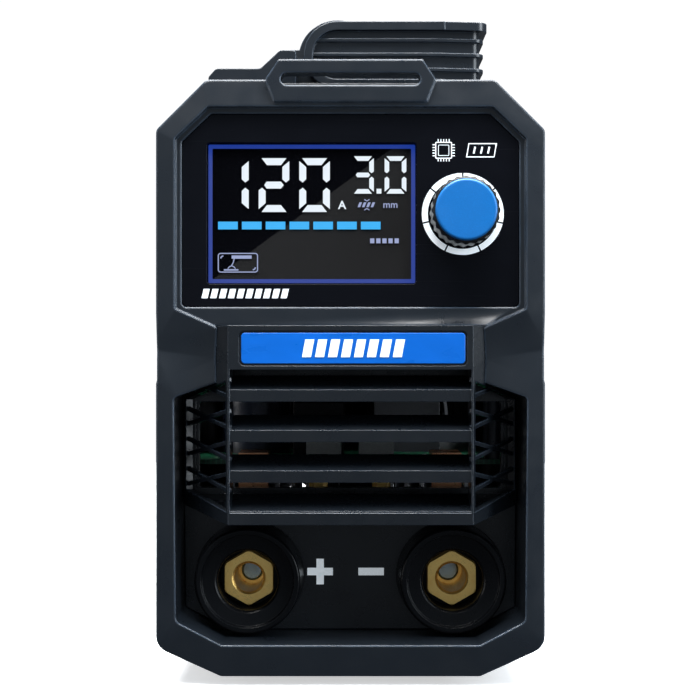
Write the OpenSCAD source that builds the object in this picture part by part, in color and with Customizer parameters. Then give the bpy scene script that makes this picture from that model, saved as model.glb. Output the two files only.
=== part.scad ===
// Compact stick welding inverter with a fold-down carrying handle.
// Millimetres. X to the right, Y to the back, Z up; the feet stand on Z = 0.
// Inside at_front(), y is the distance behind the bezel's front plane and z starts at the bezel's foot.

/* [Case] */
// Width of the front bezel
case_w = 120; // [118:0.5:122]
// Height of the bezel from its foot to its top edge
case_h = 184; // [183:0.5:186]
// Length from the bezel's front plane to the back of the rear panel
case_l = 232; // [228:1:250]
// Run of the 45 degree shoulders
shoulder = 15.5; // [14:0.5:16]
// Half width of the flat under the case
foot_half = 40; // [38:0.5:42]
// Rise of the slopes beside that flat
foot_rise = 9; // [8:0.5:10]
// Height that the rubber feet lift the case
foot_lift = 3; // [2:0.5:4]
// Depth of the bezel moulding
bezel_d = 46; // [42:1:50]
// Width of the bezel's rim beside the lower recess
rim_w = 5.6; // [5:0.1:6]
// Depth of the socket panel behind the front plane
recess_d = 28; // [26:0.5:29]
// Thickness of the cover sheet
sheet_t = 1.2; // [1:0.1:1.5]

/* [Top lug] */
// Half width of the lug where it meets the top edge
lug_half = 26.2; // [24:0.2:28]
// Height of the lug above the top edge
lug_rise = 6; // [5:0.5:7]
// Length of the strap slot
slot_l = 43; // [38:1:44]
// Height of the strap slot
slot_h = 3.8; // [3:0.1:4]

/* [Control panel] */
// Width of the glossy fascia
fascia_w = 104.2; // [103:0.2:105]
// Height of the fascia
fascia_h = 59.6; // [59:0.2:60]
// Height of the fascia's lower edge
fascia_z = 114; // [113.8:0.1:114.4]
// Width of the display lens
lens_w = 64.6; // [60:0.2:66]
// Height of the display lens
lens_h = 43.4; // [40:0.2:44]
// Middle of the display, sideways
lens_x = -12; // [-13:0.2:-11]
// Middle of the display, height
lens_z = 142.9; // [142:0.1:144]
// Middle of the knob, sideways
knob_x = 34.7; // [34:0.1:36]
// Middle of the knob, height
knob_z = 142.7; // [141:0.1:144]
// Radius of the knob's scalloped skirt
knob_r = 10.4; // [9.6:0.1:10.5]
// Travel of the knob when it is pressed
knob_push = 0.5; // [0.3:0.1:0.5]

/* [Grille bay] */
// How far the bay stands in front of the bezel
bay_proud = 5; // [4.5:0.1:5.5]
// Half width of the bay's front face
bay_half = 37.4; // [37:0.1:38]
// Distance between louvres
louvre_pitch = 12.35; // [12.2:0.05:12.4]
// Height of a louvre's front face
louvre_h = 3.7; // [3.4:0.1:4]
// Depth of a louvre
louvre_d = 14; // [12:0.5:15]
// Distance between the crossed bars on the slanted sides
cross_pitch = 9.6; // [9.5:0.05:9.7]

/* [Sockets] */
// Distance of each socket from the middle
socket_x = 32.6; // [32:0.1:33]
// Height of the sockets
socket_z = 27.5; // [27:0.1:28]
// Radius of the contact's bore, for a 9 mm plug pin
socket_bore_r = 4.6; // [4.5:0.05:4.7]
// Depth of that bore
socket_bore_l = 19.5; // [18:0.5:20]
// Width across flats of the brass hexagon
socket_hex = 15.5; // [15:0.1:16]

/* [Handle] */
// Pivot of the handle, sideways
pivot_x = -4.2; // [-4.4:0.1:-4]
// Pivot of the handle, height
pivot_z = 194.5; // [194.5:0.1:195]
// Height of the folded handle's arms
arm_h = 21; // [20:0.5:21]
// Outer face of the grip
grip_x = 41.4; // [39:0.1:42]
// Width of the grip
grip_w = 12; // [11:0.5:14]
// Front face of the front arm's web
arm_front = 17; // [16.5:0.5:18]
// Rear face of the rear arm's web
arm_rear = 200; // [190:1:202]

/* [Rear] */
// Size of the square cooling fan
fan_size = 92; // [80:12:92]
// Thickness of the fan
fan_t = 25; // [20:1:25]
// Height of the fan's axis
fan_z = 70; // [66:1:72]
// Number of fan blades
fan_blades = 7; // [5:1:9]
// Radius of the cord gland's seal
gland_r = 4.5; // [4:0.1:5]

/* [Hidden] */
$fn = 48;

eps = 0.01;
knob_out = 13.8;      // how far the knob stands in front of the bezel
gland_out = 16;       // how far the cord gland stands behind the rear panel
front_y = -(case_l + gland_out - knob_out) / 2;
half_w = case_w / 2;
fit = 0.1;            // gap between parts of one body
run = 0.05;           // radial clearance of a running fit

// Depths behind the bezel's front plane
step_d = 2;           // step round the fascia
fascia_front = 2.2;
fascia_t = 2;
floor_d = 6.2;        // back of the bezel's floor behind the fascia
seat_d = 31;          // where the cover slides in
panel_t = 3;
panel_back = recess_d + panel_t;
board_d = 13.5;       // front face of the control board
board_t = 1.6;
rear_d = case_l - panel_t;          // inner face of the rear panel
skirt_d = case_l - 16;              // front edge of the rear panel's skirt

// Bay
bay_front = -bay_proud;
bay_slope = 0.6;                    // sideways run of the slanted sides for each mm of depth
bay_back = 22;                      // where the slanted sides end
bay_wide = bay_half + bay_slope * (bay_back + bay_proud);
bay_len = norm([bay_wide - bay_half, bay_back + bay_proud]);
bay_turn = atan(1 / bay_slope);
head_half = 42.2;
head_z = 94.65;
head_top = 108.1;
bay_foot = 47.3;
post_x = 36.9;                      // inner edge of the posts beside the louvres
louvre_top = head_z - 6.25;
louvre_lift = 4.3;                  // rise of a louvre towards the back

// Waist
waist_z = 91;                       // top of the lower recess in the middle
waist_x = 40.3;
waist_side_z = 86;
chin_z = 108.3;                     // lower edge of the plate that carries the fascia

knob_seat = -12.2;                  // front of the skirt, which the cap lies on

// Colours
slate = [0.20, 0.23, 0.27];
black = [0.06, 0.06, 0.07];
gloss_black = [0.02, 0.02, 0.03];
blue = [0.0, 0.37, 0.80];
white = [0.92, 0.93, 0.95];
brass = [0.80, 0.62, 0.28];
steel = [0.66, 0.68, 0.70];
copper = [0.80, 0.45, 0.25];
rubber = [0.08, 0.08, 0.08];
cover_grey = [0.14, 0.15, 0.17];
board_green = [0.05, 0.30, 0.16];
ferrite = [0.16, 0.16, 0.17];
alloy = [0.75, 0.76, 0.78];

// ---- Outline helpers ----

function unit(v) = v / norm(v);

// Closed outline from its right half, listed bottom to top
function both_sides(h) = concat(h, [for (i = [len(h) - 1 : -1 : 0]) [-h[i][0], h[i][1]]]);

// The same for one radius at each corner
function both_radii(r) = concat(r, [for (i = [len(r) - 1 : -1 : 0]) r[i]]);

// Counter-clockwise outline moved inwards by t
function inset(p, t) = [
    for (i = [0 : len(p) - 1])
        let (n = len(p), a = unit(p[i] - p[(i + n - 1) % n]), b = unit(p[(i + 1) % n] - p[i]))
        let (m = [-a[1], a[0]], k = [-b[1], b[0]])
        p[i] + t * (m + k) / (1 + m * k)
];

// Outline with each corner turned into an arc; r is one radius or a list of them
function rounded(p, r, steps = 5) = [
    for (i = [0 : len(p) - 1])
        let (n = len(p), a = unit(p[(i + n - 1) % n] - p[i]), b = unit(p[(i + 1) % n] - p[i]))
        let (radius = is_list(r) ? r[i] : r, half = acos(a * b) / 2)
        let (centre = p[i] + unit(a + b) * radius / sin(half))
        let (u = p[i] + a * radius / tan(half) - centre, v = p[i] + b * radius / tan(half) - centre)
        let (from = atan2(u[1], u[0]), turn = (atan2(v[1], v[0]) - from + 540) % 360 - 180)
        for (k = [0 : steps])
            centre + radius * [cos(from + turn * k / steps), sin(from + turn * k / steps)]
];

function rect(x, z, w, h) = [
    [x - w / 2, z - h / 2], [x + w / 2, z - h / 2], [x + w / 2, z + h / 2], [x - w / 2, z + h / 2]
];

// ---- Placing helpers ----

module at_front() {
    translate([0, front_y, foot_lift]) children();
}

// Extrudes an (x, z) outline from depth d0 to depth d1
module slab(d0, d1) {
    translate([0, d1, 0]) rotate([90, 0, 0]) linear_extrude(d1 - d0) children();
}

// Extrudes a (depth, z) outline sideways from x0 to x1
module rail(x0, x1) {
    translate([x0, 0, 0]) rotate([90, 0, 90]) linear_extrude(x1 - x0) children();
}

// Extrudes an (x, depth) outline upwards from z0 to z1
module plan(z0, z1) {
    translate([0, 0, z0]) linear_extrude(z1 - z0) children();
}

// Turns a (radius, depth) profile about an axis along Y
module turned(x, z) {
    translate([x, 0, z]) rotate([-90, 0, 0]) rotate_extrude() children();
}

// A round bar along Y from depth d0 to d1
module bar(x, z, r, d0, d1) {
    translate([x, d0, z]) rotate([-90, 0, 0]) cylinder(r = r, h = d1 - d0);
}

// A hexagon bar along Y with its points up and down
module hex_bar(x, z, flats, d0, d1) {
    translate([x, d0, z]) rotate([-90, 30, 0]) cylinder(r = flats / sqrt(3), h = d1 - d0, $fn = 6);
}

// A box given by its two corners
module block(low, high) {
    translate(low) cube(high - low);
}

// Children on the right, and again mirrored on the left
module both() {
    children();
    mirror([1, 0, 0]) children();
}

// ---- Outlines ----

case_pts = both_sides([
    [foot_half, 0], [half_w, foot_rise], [half_w, case_h - shoulder], [half_w - shoulder, case_h]
]);
case_round = rounded(case_pts, both_radii([3, 5.5, 2.5, 2.5]));
lug_pts = both_sides([
    [lug_half - 2.7, case_h - 7], [lug_half, case_h], [lug_half - 4, case_h + lug_rise]
]);
opening_pts = both_sides([
    [foot_half - 0.2, 9.7], [half_w - rim_w - 0.6, 17], [half_w - rim_w, waist_side_z],
    [waist_x, waist_z]
]);
fascia_pts = both_sides([
    [fascia_w / 2, fascia_z], [fascia_w / 2, fascia_z + fascia_h - 8.6],
    [fascia_w / 2 - 9, fascia_z + fascia_h]
]);
// The step round the fascia narrows downwards to the bay
step_pts = both_sides([
    [waist_x, chin_z - 3], [waist_x, chin_z - 1.1], [fascia_w / 2 + 2, fascia_z - 0.6],
    [fascia_w / 2 + 2, fascia_z + fascia_h - 7.8], [fascia_w / 2 - 8.2, fascia_z + fascia_h + 2]
]);

// Half of the bay seen from above, as (x, depth), widened by gap
function bay_side(gap) = [
    [bay_half + gap, bay_front - gap], [bay_wide + gap, bay_back], [bay_wide + gap, recess_d - 1]
];
function head_side(gap) = [
    [bay_half + gap, bay_front - gap],
    [head_half + gap, (head_half - bay_half) / bay_slope + bay_front],
    [head_half + gap, recess_d - 2]
];

// ---- Front bezel ----

// Everything in front of the plane through three points, as far as reach
module ahead_of(a, b, c, reach = 40) {
    across = unit(cross(b - a, c - a));
    n = across[1] < 0 ? across : -across;
    translate(a) rotate([0, acos(n[2]), atan2(n[1], n[0])])
        translate([-reach, -reach, 0]) cube([2 * reach, 2 * reach, reach]);
}

// Shallow dent at the waist: an upper facet that leans back, a triangle that comes forward
// again, and the lower frame's face, which meet in one point beside the bay
module waist_dent() {
    apex = [waist_x + 0.5, 1.9, 97.9];
    upper = [half_w, 0, fascia_z - 2];
    ridge = [half_w - 1.3, 0, 91.1];
    crease = [half_w, 1.35, 100.6];
    intersection() {
        ahead_of(upper, [upper[0] - 5.8, 0, upper[2] + 1.2], apex);
        union() {
            ahead_of(crease, ridge, apex);
            ahead_of(ridge, [half_w - rim_w, 0, waist_side_z], apex);
        }
    }
    // The side draws in a little as well
    draw_in = 0.3;
    slab(-1, bezel_d + 1)
        polygon([[half_w, 90.2], [half_w + 1, 90.2], [half_w + 1, 112], [half_w, 112],
                 [half_w - draw_in, 101], [half_w - draw_in, 91.4]]);
}

// The frame's front leans back towards each of its eight outer edges
module crown() {
    crown_d = 1;
    inner_pts = both_sides([
        [foot_half - 0.2, 9.7], [half_w - rim_w, 17], [half_w - rim_w, fascia_z + fascia_h - 7.8],
        [fascia_w / 2 - 8.2, fascia_z + fascia_h + 2]
    ]);
    for (i = [0 : 7])
        let (a = case_pts[i], b = case_pts[(i + 1) % 8], c = inner_pts[i])
            ahead_of([a[0], crown_d, a[1]], [b[0], crown_d, b[1]], [c[0], 0, c[1]], 2 * case_w);
}

board_boss_x = 50.5;
board_boss_z = [118, 165];

module front_bezel() {
    wall = 3.5;
    boss_r = 3.2;
    screw_z = [60, 130];
    hollow_pts = both_sides([
        [half_w, chin_z], [half_w, case_h - shoulder], [half_w - shoulder, case_h]
    ]);
    color(slate) at_front() {
        difference() {
            union() {
                difference() {
                    slab(0, bezel_d) polygon(case_round);
                    crown();
                }
                slab(-0.8, 6) polygon(rounded(lug_pts, 0.8));
            }
            // Hollow behind the control panel, and the seat of the cover
            slab(floor_d, bezel_d + 1) polygon(inset(hollow_pts, wall));
            slab(seat_d, bezel_d + 1) polygon(inset(case_pts, 2 - fit));
            // Step and pocket for the fascia
            slab(-1, step_d) polygon(rounded(step_pts, 0.8));
            slab(-1, fascia_front + fascia_t) polygon(rounded(inset(fascia_pts, -fit), 1.5));
            // Windows for the display and the encoder
            slab(0, floor_d + 1) polygon(rect(lens_x, lens_z, lens_w + 0.4, lens_h + 0.4));
            bar(knob_x, knob_z, 3.6, 0, floor_d + 1);
            // Lower recess and the space for the bay
            slab(-1, bezel_d + 1) polygon(rounded(opening_pts, both_radii([2, 2, 1.5, 0.8])));
            plan(waist_side_z, chin_z) polygon(
                both_sides([[bay_half + fit, bay_front - 1], each head_side(fit), [head_half, 40]]));
            both() waist_dent();
            // Strap slot
            slab(-2, 7) polygon(rounded(rect(0, case_h, slot_l, slot_h), slot_h / 2 - 0.01, 8));
            // Countersunk holes for the screws that hold the cover
            for (z = screw_z)
                both() translate([half_w, bezel_d - 7, z]) rotate([0, -90, 0]) {
                    cylinder(r1 = 3, r2 = 1.6, h = 1.5);
                    cylinder(r = 1.6, h = 4);
                }
        }
        for (z = board_boss_z)
            both() difference() {
                bar(board_boss_x, z, boss_r, floor_d - 1, board_d);
                bar(board_boss_x, z, 1.3, floor_d + 1, board_d + 1);
            }
    }
}

module bezel_screws() {
    color(steel) at_front()
        for (z = [60, 130])
            both() translate([half_w - fit, bezel_d - 7, z]) rotate([0, -90, 0]) difference() {
                union() {
                    cylinder(r1 = 2.8, r2 = 1.5, h = 1.4);
                    cylinder(r = 1.5, h = 5);
                }
                translate([0, 0, -eps]) cylinder(r = 1.2, h = 0.8, $fn = 6);
            }
}

// ---- Control panel ----

module control_fascia() {
    color(gloss_black) at_front() difference() {
        slab(fascia_front, fascia_front + fascia_t) polygon(rounded(fascia_pts, 1.5));
        slab(0, floor_d) polygon(rounded(rect(lens_x, lens_z, lens_w + 0.2, lens_h + 0.2), 1));
        bar(knob_x, knob_z, 3.6, 0, floor_d);
    }
}

module display_lens() {
    color([0.1, 0.12, 0.2, 0.4]) at_front()
        slab(fascia_front + fit, fascia_front + 1.8)
            polygon(rounded(rect(lens_x, lens_z, lens_w, lens_h), 0.9));
}

module lcd_module() {
    glass_front = 4.4;
    body_margin = 3.4;
    pin_z = 118.2;
    color(gloss_black) at_front() {
        slab(glass_front, floor_d + 0.2) polygon(rect(lens_x, lens_z, lens_w, lens_h));
        slab(floor_d + 0.2, board_d - 1.5)
            polygon(rounded(rect(lens_x, lens_z, lens_w + body_margin, lens_h + body_margin), 1));
        // Row of pins that joins it to the control board
        for (i = [0 : 11])
            bar(lens_x - 28 + i * 5, lens_z - lens_h / 2 + 1.5, 0.5, board_d - 2, board_d);
    }
}

module dial_ring() {
    segments = 7;
    gap_angle = 2;
    mid_angle = 90;
    color(white) at_front() intersection() {
        turned(knob_x, knob_z) translate([10.8, fascia_front - 0.25]) square([1.85, 0.25]);
        for (i = [0 : segments - 1])
            translate([knob_x, 0, knob_z])
                rotate([0, -(mid_angle + (i + 0.5) * 360 / segments), 0])
                    slab(0, fascia_front) polygon([
                        [0.3, 0],
                        20 * [cos(180 / segments - gap_angle / 2), -sin(180 / segments - gap_angle / 2)],
                        [24, 0],
                        20 * [cos(180 / segments - gap_angle / 2), sin(180 / segments - gap_angle / 2)]
                    ]);
    }
}

module knob_skirt() {
    flutes = 24;
    flute_d = 0.45;
    front = knob_seat;
    back = 0.6;
    outline = [
        for (a = [0 : 2.5 : 357.5]) (knob_r - flute_d * (1 - cos(flutes * a)) / 2) * [cos(a), sin(a)]
    ];
    color(black) at_front() difference() {
        intersection() {
            translate([knob_x, 0, knob_z]) slab(front, back) polygon(outline);
            turned(knob_x, knob_z)
                polygon([[0, front], [9.6, front], [knob_r, front + 1.2], [knob_r + 1, back], [0, back]]);
        }
        bar(knob_x, knob_z, 7.6, -4, back + 1);
        bar(knob_x, knob_z, 3 + run, -9.2, back);
        bar(knob_x, knob_z, 7 + fit, front - 1, front + 2);
    }
}

module knob_cap() {
    front = -knob_out;
    back = knob_seat;
    color(blue) at_front() turned(knob_x, knob_z)
        polygon([
            [0, front], [8.5, front], [9.1, front + 0.25], [9.3, front + 0.8], [9.3, back],
            [7, back], [7, back + 1.9], [0, back + 1.9]
        ]);
}

module encoder_shaft() {
    color(steel) at_front() difference() {
        turned(knob_x, knob_z) polygon([[0, -9], [2.6, -9], [3, -8.6], [3, 9.5], [0, 9.5]]);
        // Slot across the splined end
        block([knob_x - 4, -9.1, knob_z - 0.4], [knob_x + 4, -3, knob_z + 0.4]);
    }
}

module encoder_plunger() {
    color(alloy) at_front() turned(knob_x, knob_z)
        polygon([[0, 9.6], [1.5, 9.6], [2.9, 10.2], [2.9, 11.8], [0, 11.8]]);
}

module encoder_body() {
    body_w = 12.4;
    color(steel) at_front() difference() {
        union() {
            bar(knob_x, knob_z, 3.5, 0.2, floor_d + 1);
            slab(floor_d + fit, board_d)
                polygon(rounded(rect(knob_x, knob_z, body_w, body_w + 1), 0.8));
        }
        bar(knob_x, knob_z, 3 + run, 0, board_d - 0.9);
    }
}

module encoder_nut() {
    color(steel) at_front() difference() {
        hex_bar(knob_x, knob_z, 10, 0.5, fascia_front);
        bar(knob_x, knob_z, 3.55, 0, 3);
    }
}

module control_board() {
    board_z = [114.5, 168.5];
    board_half = 54;
    chip_d = 2.2;
    color(board_green) at_front() {
        difference() {
            block([-board_half, board_d, board_z[0]], [board_half, board_d + board_t, board_z[1]]);
            for (z = board_boss_z) both() bar(board_boss_x, z, 1.6, board_d - 1, board_d + 3);
        }
        // Chips and a ribbon header on its back
        for (x = [-30, -8, 14])
            block([x, board_d + board_t, 136], [x + 10, board_d + board_t + chip_d, 146]);
        block([-20, board_d + board_t, 118], [12, board_d + board_t + 8, 124]);
    }
}

module control_board_screws() {
    color(steel) at_front() for (z = board_boss_z)
        both() difference() {
            union() {
                bar(board_boss_x, z, 2.6, board_d + board_t, board_d + board_t + 1.8);
                bar(board_boss_x, z, 1.2, floor_d + 2, board_d + board_t + 1);
            }
            block([board_boss_x - 2, board_d + board_t + 1, z - 0.35],
                  [board_boss_x + 2, board_d + board_t + 3, z + 0.35]);
            block([board_boss_x - 0.35, board_d + board_t + 1, z - 2],
                  [board_boss_x + 0.35, board_d + board_t + 3, z + 2]);
        }
}

// ---- Badge and grille ----

badge_x = 0.8;
badge_z = 101.15;
badge_w = 68.4;
badge_h = 9.5;

module badge_strip() {
    color(blue) at_front()
        slab(bay_front + 0.1, bay_front + 1.2)
            polygon(rounded(rect(badge_x, badge_z, badge_w, badge_h), 1.2));
}

// Places children on the right slanted side: x along the slope, y inwards, z up
module on_side() {
    translate([bay_half, bay_front, 0]) rotate([0, 0, bay_turn]) children();
}

module louvre(top) {
    back = bay_front + louvre_d;
    rail(-post_x - 0.5, post_x + 0.5) polygon([
        [bay_front, top - louvre_h], [bay_front, top], [back, top + louvre_lift],
        [back, top + louvre_lift - 1.4]
    ]);
}

// Crossed bars that fill the window in a slanted side
module side_bars() {
    bar_w = 1.2;
    bar_t = 1.3;
    first_z = 60.25;
    cross_lift = 2.7;                    // rise of a bar from its crossing to its end
    tilt = atan(cross_lift / (bay_len / 2));
    reach = bay_len - 1;
    on_side() for (i = [0 : 3])
        for (s = [-1, 1])
            translate([bay_len / 2, 0, first_z + i * cross_pitch]) rotate([0, s * tilt, 0])
                translate([-reach / 2, 0.3, -bar_w / 2]) cube([reach, bar_t, bar_w]);
}

// Solid wall of the bay, open at the back, with its front opening and side windows cut
module bay_shell() {
    wall = 2.4;
    sill_z = 50.9;
    difference() {
        plan(bay_foot - 2, head_top) polygon(both_sides(bay_side(0)));
        plan(bay_foot - 3, head_z)
            polygon(inset(both_sides([
                [bay_half, bay_front], [bay_wide, bay_back], [bay_wide, recess_d + 10]
            ]), wall));
        plan(head_z + 2.2, head_top - 1.8)
            polygon(both_sides([
                [bay_half - 1.6, bay_front + 3], [head_half - 2, 4], [head_half - 2, 40]
            ]));
        block([-post_x, bay_front - 1, sill_z], [post_x, bay_front + 5, head_z]);
        both() on_side() translate([0, wall + 1, 0]) rotate([90, 0, 0]) linear_extrude(wall + 2)
            polygon([[1.3, 51.1], [bay_len - 1.7, 55.9], [bay_len - 1.7, 84.9], [1.3, 91.3]]);
        slab(bay_front - 1, bay_front + 1.2)
            polygon(rounded(rect(badge_x, badge_z, badge_w + 1.2, badge_h + 1.2), 1.6));
    }
}

module front_grille() {
    clip = both_sides([[56, 40], [56, 85.2], [head_half, 90.1], [head_half, head_top]]);
    color(slate) at_front() difference() {
        intersection() {
            union() {
                bay_shell();
                // Louvres and the floor behind the sill
                intersection() {
                    union() {
                        for (i = [0 : 3]) louvre(louvre_top - i * louvre_pitch);
                        // Cheeks that hold the ends of the louvres
                        both() block([post_x, bay_front + 0.5, bay_foot],
                                     [post_x + 1.1, bay_front + louvre_d + 0.6, head_z + 1]);
                        rail(-60, 60) polygon([
                            [bay_front, bay_foot - 2], [recess_d - 1, 50], [recess_d - 1, 54.3],
                            [bay_front + 3, 50.2], [bay_front, 50.2]
                        ]);
                    }
                    plan(40, 110) polygon(inset(both_sides(bay_side(0)), 0.4));
                }
                both() side_bars();
                // Flange against the socket panel
                difference() {
                    block([-bay_wide - 0.4, recess_d - 2, 50], [bay_wide + 0.4, recess_d, head_top + 1]);
                    block([-50, recess_d - 3, 56], [50, recess_d + 1, 84]);
                }
            }
            slab(bay_front - 1, recess_d) polygon(clip);
        }
        // Underside, rising towards the back
        rail(-60, 60) polygon([
            [bay_front - 2, bay_foot - 0.3], [recess_d + 2, 52.2], [recess_d + 2, 40], [bay_front - 2, 40]
        ]);
    }
}

// ---- Sockets ----

module socket_panel() {
    color(slate) at_front() difference() {
        slab(recess_d, panel_back) polygon(rounded(inset(opening_pts, fit), 1.2));
        slab(recess_d - 1, panel_back + 1) polygon(rounded(rect(0, 70, 98, 28), 1.5));
        both() bar(socket_x, socket_z, 12 + fit, recess_d - 1, panel_back + 1);
    }
}

module polarity_marks() {
    mark_x = 8.3;
    mark_off = -1.5;                // both marks sit a little to the left
    mark_z = 28.6;
    mark_l = 8.3;
    mark_w = 2.4;
    mark_t = 0.4;
    color(white) at_front() {
        slab(recess_d - mark_t, recess_d) {
            polygon(rect(mark_off - mark_x, mark_z, mark_l, mark_w));
            polygon(rect(mark_off - mark_x, mark_z, mark_w, mark_l));
        }
        slab(recess_d - mark_t, recess_d) polygon(rect(mark_off + mark_x, mark_z, mark_l, mark_w));
    }
}

hex_front = 21;
hex_back = 27;
contact_back = 46;
lug_back = 48.5;
washer_back = 50;

module socket_ring(x) {
    neck_r = 12;
    color(black) at_front() turned(x, socket_z) polygon([
        [7.6, hex_back], [9.6, hex_back], [9.6, 15.6], [10.4, 14.8], [14.5, 14.3], [14.7, 13],
        [16.2, 13], [16.8, 13.7], [17.7, recess_d], [neck_r, recess_d], [neck_r, 38], [7.6, 38]
    ]);
}

module socket_contact(x) {
    mouth = 0.8;
    color(brass) at_front() difference() {
        union() {
            intersection() {
                hex_bar(x, socket_z, socket_hex, hex_front, hex_back);
                // Turned bevel on the hexagon's points
                turned(x, socket_z) polygon([
                    [0, hex_front], [8.5, hex_front], [9.2, hex_front + 0.45], [9.2, hex_back + 1],
                    [0, hex_back + 1]
                ]);
            }
            bar(x, socket_z, 7.5, hex_back - 1, contact_back);
        }
        bar(x, socket_z, socket_bore_r, hex_front - 1, hex_front + socket_bore_l);
        turned(x, socket_z) polygon([
            [0, hex_front - 1], [socket_bore_r + mouth + 1, hex_front - 1],
            [socket_bore_r, hex_front + mouth], [0, hex_front + mouth]
        ]);
        bar(x, socket_z, 3.55, hex_front, contact_back + 1);
    }
}

module positive_socket_ring() {
    socket_ring(-socket_x);
}

module negative_socket_ring() {
    socket_ring(socket_x);
}

module positive_socket_contact() {
    socket_contact(-socket_x);
}

module negative_socket_contact() {
    socket_contact(socket_x);
}

module socket_lock_nuts() {
    color(black) at_front() both() difference() {
        hex_bar(socket_x, socket_z, 29, panel_back, panel_back + 4.5);
        bar(socket_x, socket_z, 12.05, panel_back - 1, panel_back + 6);
    }
}

module terminal_bolts() {
    tip = hex_front + socket_bore_l;
    color(steel) at_front() both() {
        turned(socket_x, socket_z) polygon([
            [0, tip], [2.9, tip], [3.5, tip + 0.6], [3.5, washer_back + 1], [0, washer_back + 1]
        ]);
        hex_bar(socket_x, socket_z, 13, washer_back, washer_back + 5.3);
    }
}

module terminal_washers() {
    color(steel) at_front() both() turned(socket_x, socket_z)
        translate([3.6, lug_back]) square([4.6, washer_back - lug_back]);
}

main_z = 62;                       // underside of the main board
main_top = main_z + board_t;

module busbar() {
    lug_r = 9;
    strip_half = 5;
    foot_back = 64;
    t = lug_back - contact_back;
    color(copper) at_front() difference() {
        union() {
            bar(socket_x, socket_z, lug_r, contact_back, lug_back);
            block([socket_x - strip_half, contact_back, socket_z],
                  [socket_x + strip_half, lug_back, main_top + t]);
            block([socket_x - strip_half, contact_back, main_top],
                  [socket_x + strip_half, foot_back, main_top + t]);
        }
        bar(socket_x, socket_z, 3.6, contact_back - 1, lug_back + 1);
    }
}

module positive_busbar() {
    mirror([1, 0, 0]) busbar();
}

module negative_busbar() {
    busbar();
}

// ---- Cover, tray and feet ----

cover_screw_d = [70, 205];
cover_screw_z = 17;

module main_cover() {
    vents = 7;
    vent_l = 28;
    vent_h = 4.8;
    vent_pitch = 7.6;
    vent_d = 66;
    vent_z = 60;
    lower_edge = 10;
    color(cover_grey) at_front() difference() {
        slab(seat_d + 1.5, rear_d - 1) polygon(rounded(inset(case_pts, 2), 2));
        slab(seat_d, rear_d) polygon(rounded(inset(case_pts, 2 + sheet_t), 1.2));
        block([-half_w, seat_d, -5], [half_w, rear_d, lower_edge]);
        for (i = [0 : vents - 1])
            rail(-half_w - 1, half_w + 1)
                polygon(rounded(rect(vent_d, vent_z + i * vent_pitch, vent_l, vent_h), vent_h / 2 - 0.01));
        for (d = cover_screw_d)
            translate([-half_w, d, cover_screw_z]) rotate([0, 90, 0]) cylinder(r = 1.9, h = case_w);
        for (z = [60, 130])
            translate([-half_w, bezel_d - 7, z]) rotate([0, 90, 0]) cylinder(r = 1.6, h = case_w);
        for (d = hump_screw_d)
            translate([hump_screw_x, d, hump_top - 14]) cylinder(r = 2.15, h = 16);
    }
}

foot_x = 30;
foot_d = [64, 205];

module base_tray() {
    outer = inset(case_pts, 2 + sheet_t + fit);
    inner = inset(case_pts, 2 + 2 * sheet_t + fit);
    flange_top = 24;
    color(cover_grey) at_front() difference() {
        slab(seat_d + 2, rear_d - 1.5) polygon(rounded(outer, 1.5));
        slab(seat_d, rear_d) polygon(rounded(inner, 0.6));
        block([-half_w, seat_d, flange_top], [half_w, rear_d, case_h]);
        for (d = cover_screw_d)
            translate([-half_w, d, cover_screw_z]) rotate([0, 90, 0]) cylinder(r = 1.5, h = case_w);
        for (d = foot_d)
            both() translate([foot_x, d, 0]) cylinder(r = 2.1, h = 10);
    }
}

module rubber_feet() {
    seat = 2 + sheet_t + fit;
    color(rubber) at_front() for (d = foot_d)
        both() translate([foot_x, d, 0]) rotate_extrude() polygon([
            [0, -foot_lift], [6.8, -foot_lift], [7.4, -foot_lift + 0.6], [8.2, seat], [2, seat],
            [2, seat + 3], [0, seat + 3]
        ]);
}

module cover_screws() {
    head_r = 3.6;
    head_t = 1.7;
    cover_half = half_w - 2;
    color(steel) at_front() for (d = cover_screw_d)
        both() translate([cover_half, d, cover_screw_z]) rotate([0, 90, 0]) difference() {
            union() {
                rotate_extrude() polygon([
                    [0, 0], [head_r, 0], [head_r, 0.7], [head_r - 0.9, head_t], [0, head_t]
                ]);
                translate([0, 0, -6]) cylinder(r = 1.45, h = 6.5);
            }
            for (a = [0, 90]) rotate([0, 0, a]) translate([-2, -0.4, head_t - 0.9]) cube([4, 0.8, 2]);
        }
}

// ---- Handle ----

end_r = arm_h / 2;
arm_t = 5;                          // thickness of the arms' web
band_o = 2.3;                       // how far the top band stands out
rib_o = 1.2;                        // how far the ribs stand out
band_h = 2.7;
arm_low = pivot_z - end_r;
arm_top = pivot_z + end_r;
post_t = 9.6;
post_front = arm_front + arm_t + 0.4;
post_rear = arm_rear - arm_t - 0.4;

// U-shaped outline of the handle from above, standing out by o; its ends bow back a little
function grip_outline(o) =
    let (r = 3 + o / 2, x = grip_x + o, f = arm_front - o, b = arm_rear + o, turn = 16, draw = 1.8)
    let (in_x = grip_x - grip_w, in_f = arm_front + arm_t, in_b = arm_rear - arm_t, left = -20)
    rounded([
        [left, f], [x - turn, f], [x, f + draw], [x, b - draw], [x - turn, b], [left, b],
        [left, in_b], [in_x, in_b], [in_x, in_f], [left, in_f]
    ], [0.01, 60, r, r, 60, 0.01, 0.01, 7, 7, 0.01], 8);

// Outline of the folded handle from the front: round at the pivot, square at the grip
function arm_outline(t) =
    let (right = grip_x + band_o - t, low = arm_low + t, top = arm_top - t, r = end_r - t)
    concat(
        [[right, low], [right, top]],
        [for (a = [90 : 7.5 : 270]) [pivot_x + r * cos(a), pivot_z + r * sin(a)]]
    );

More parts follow.
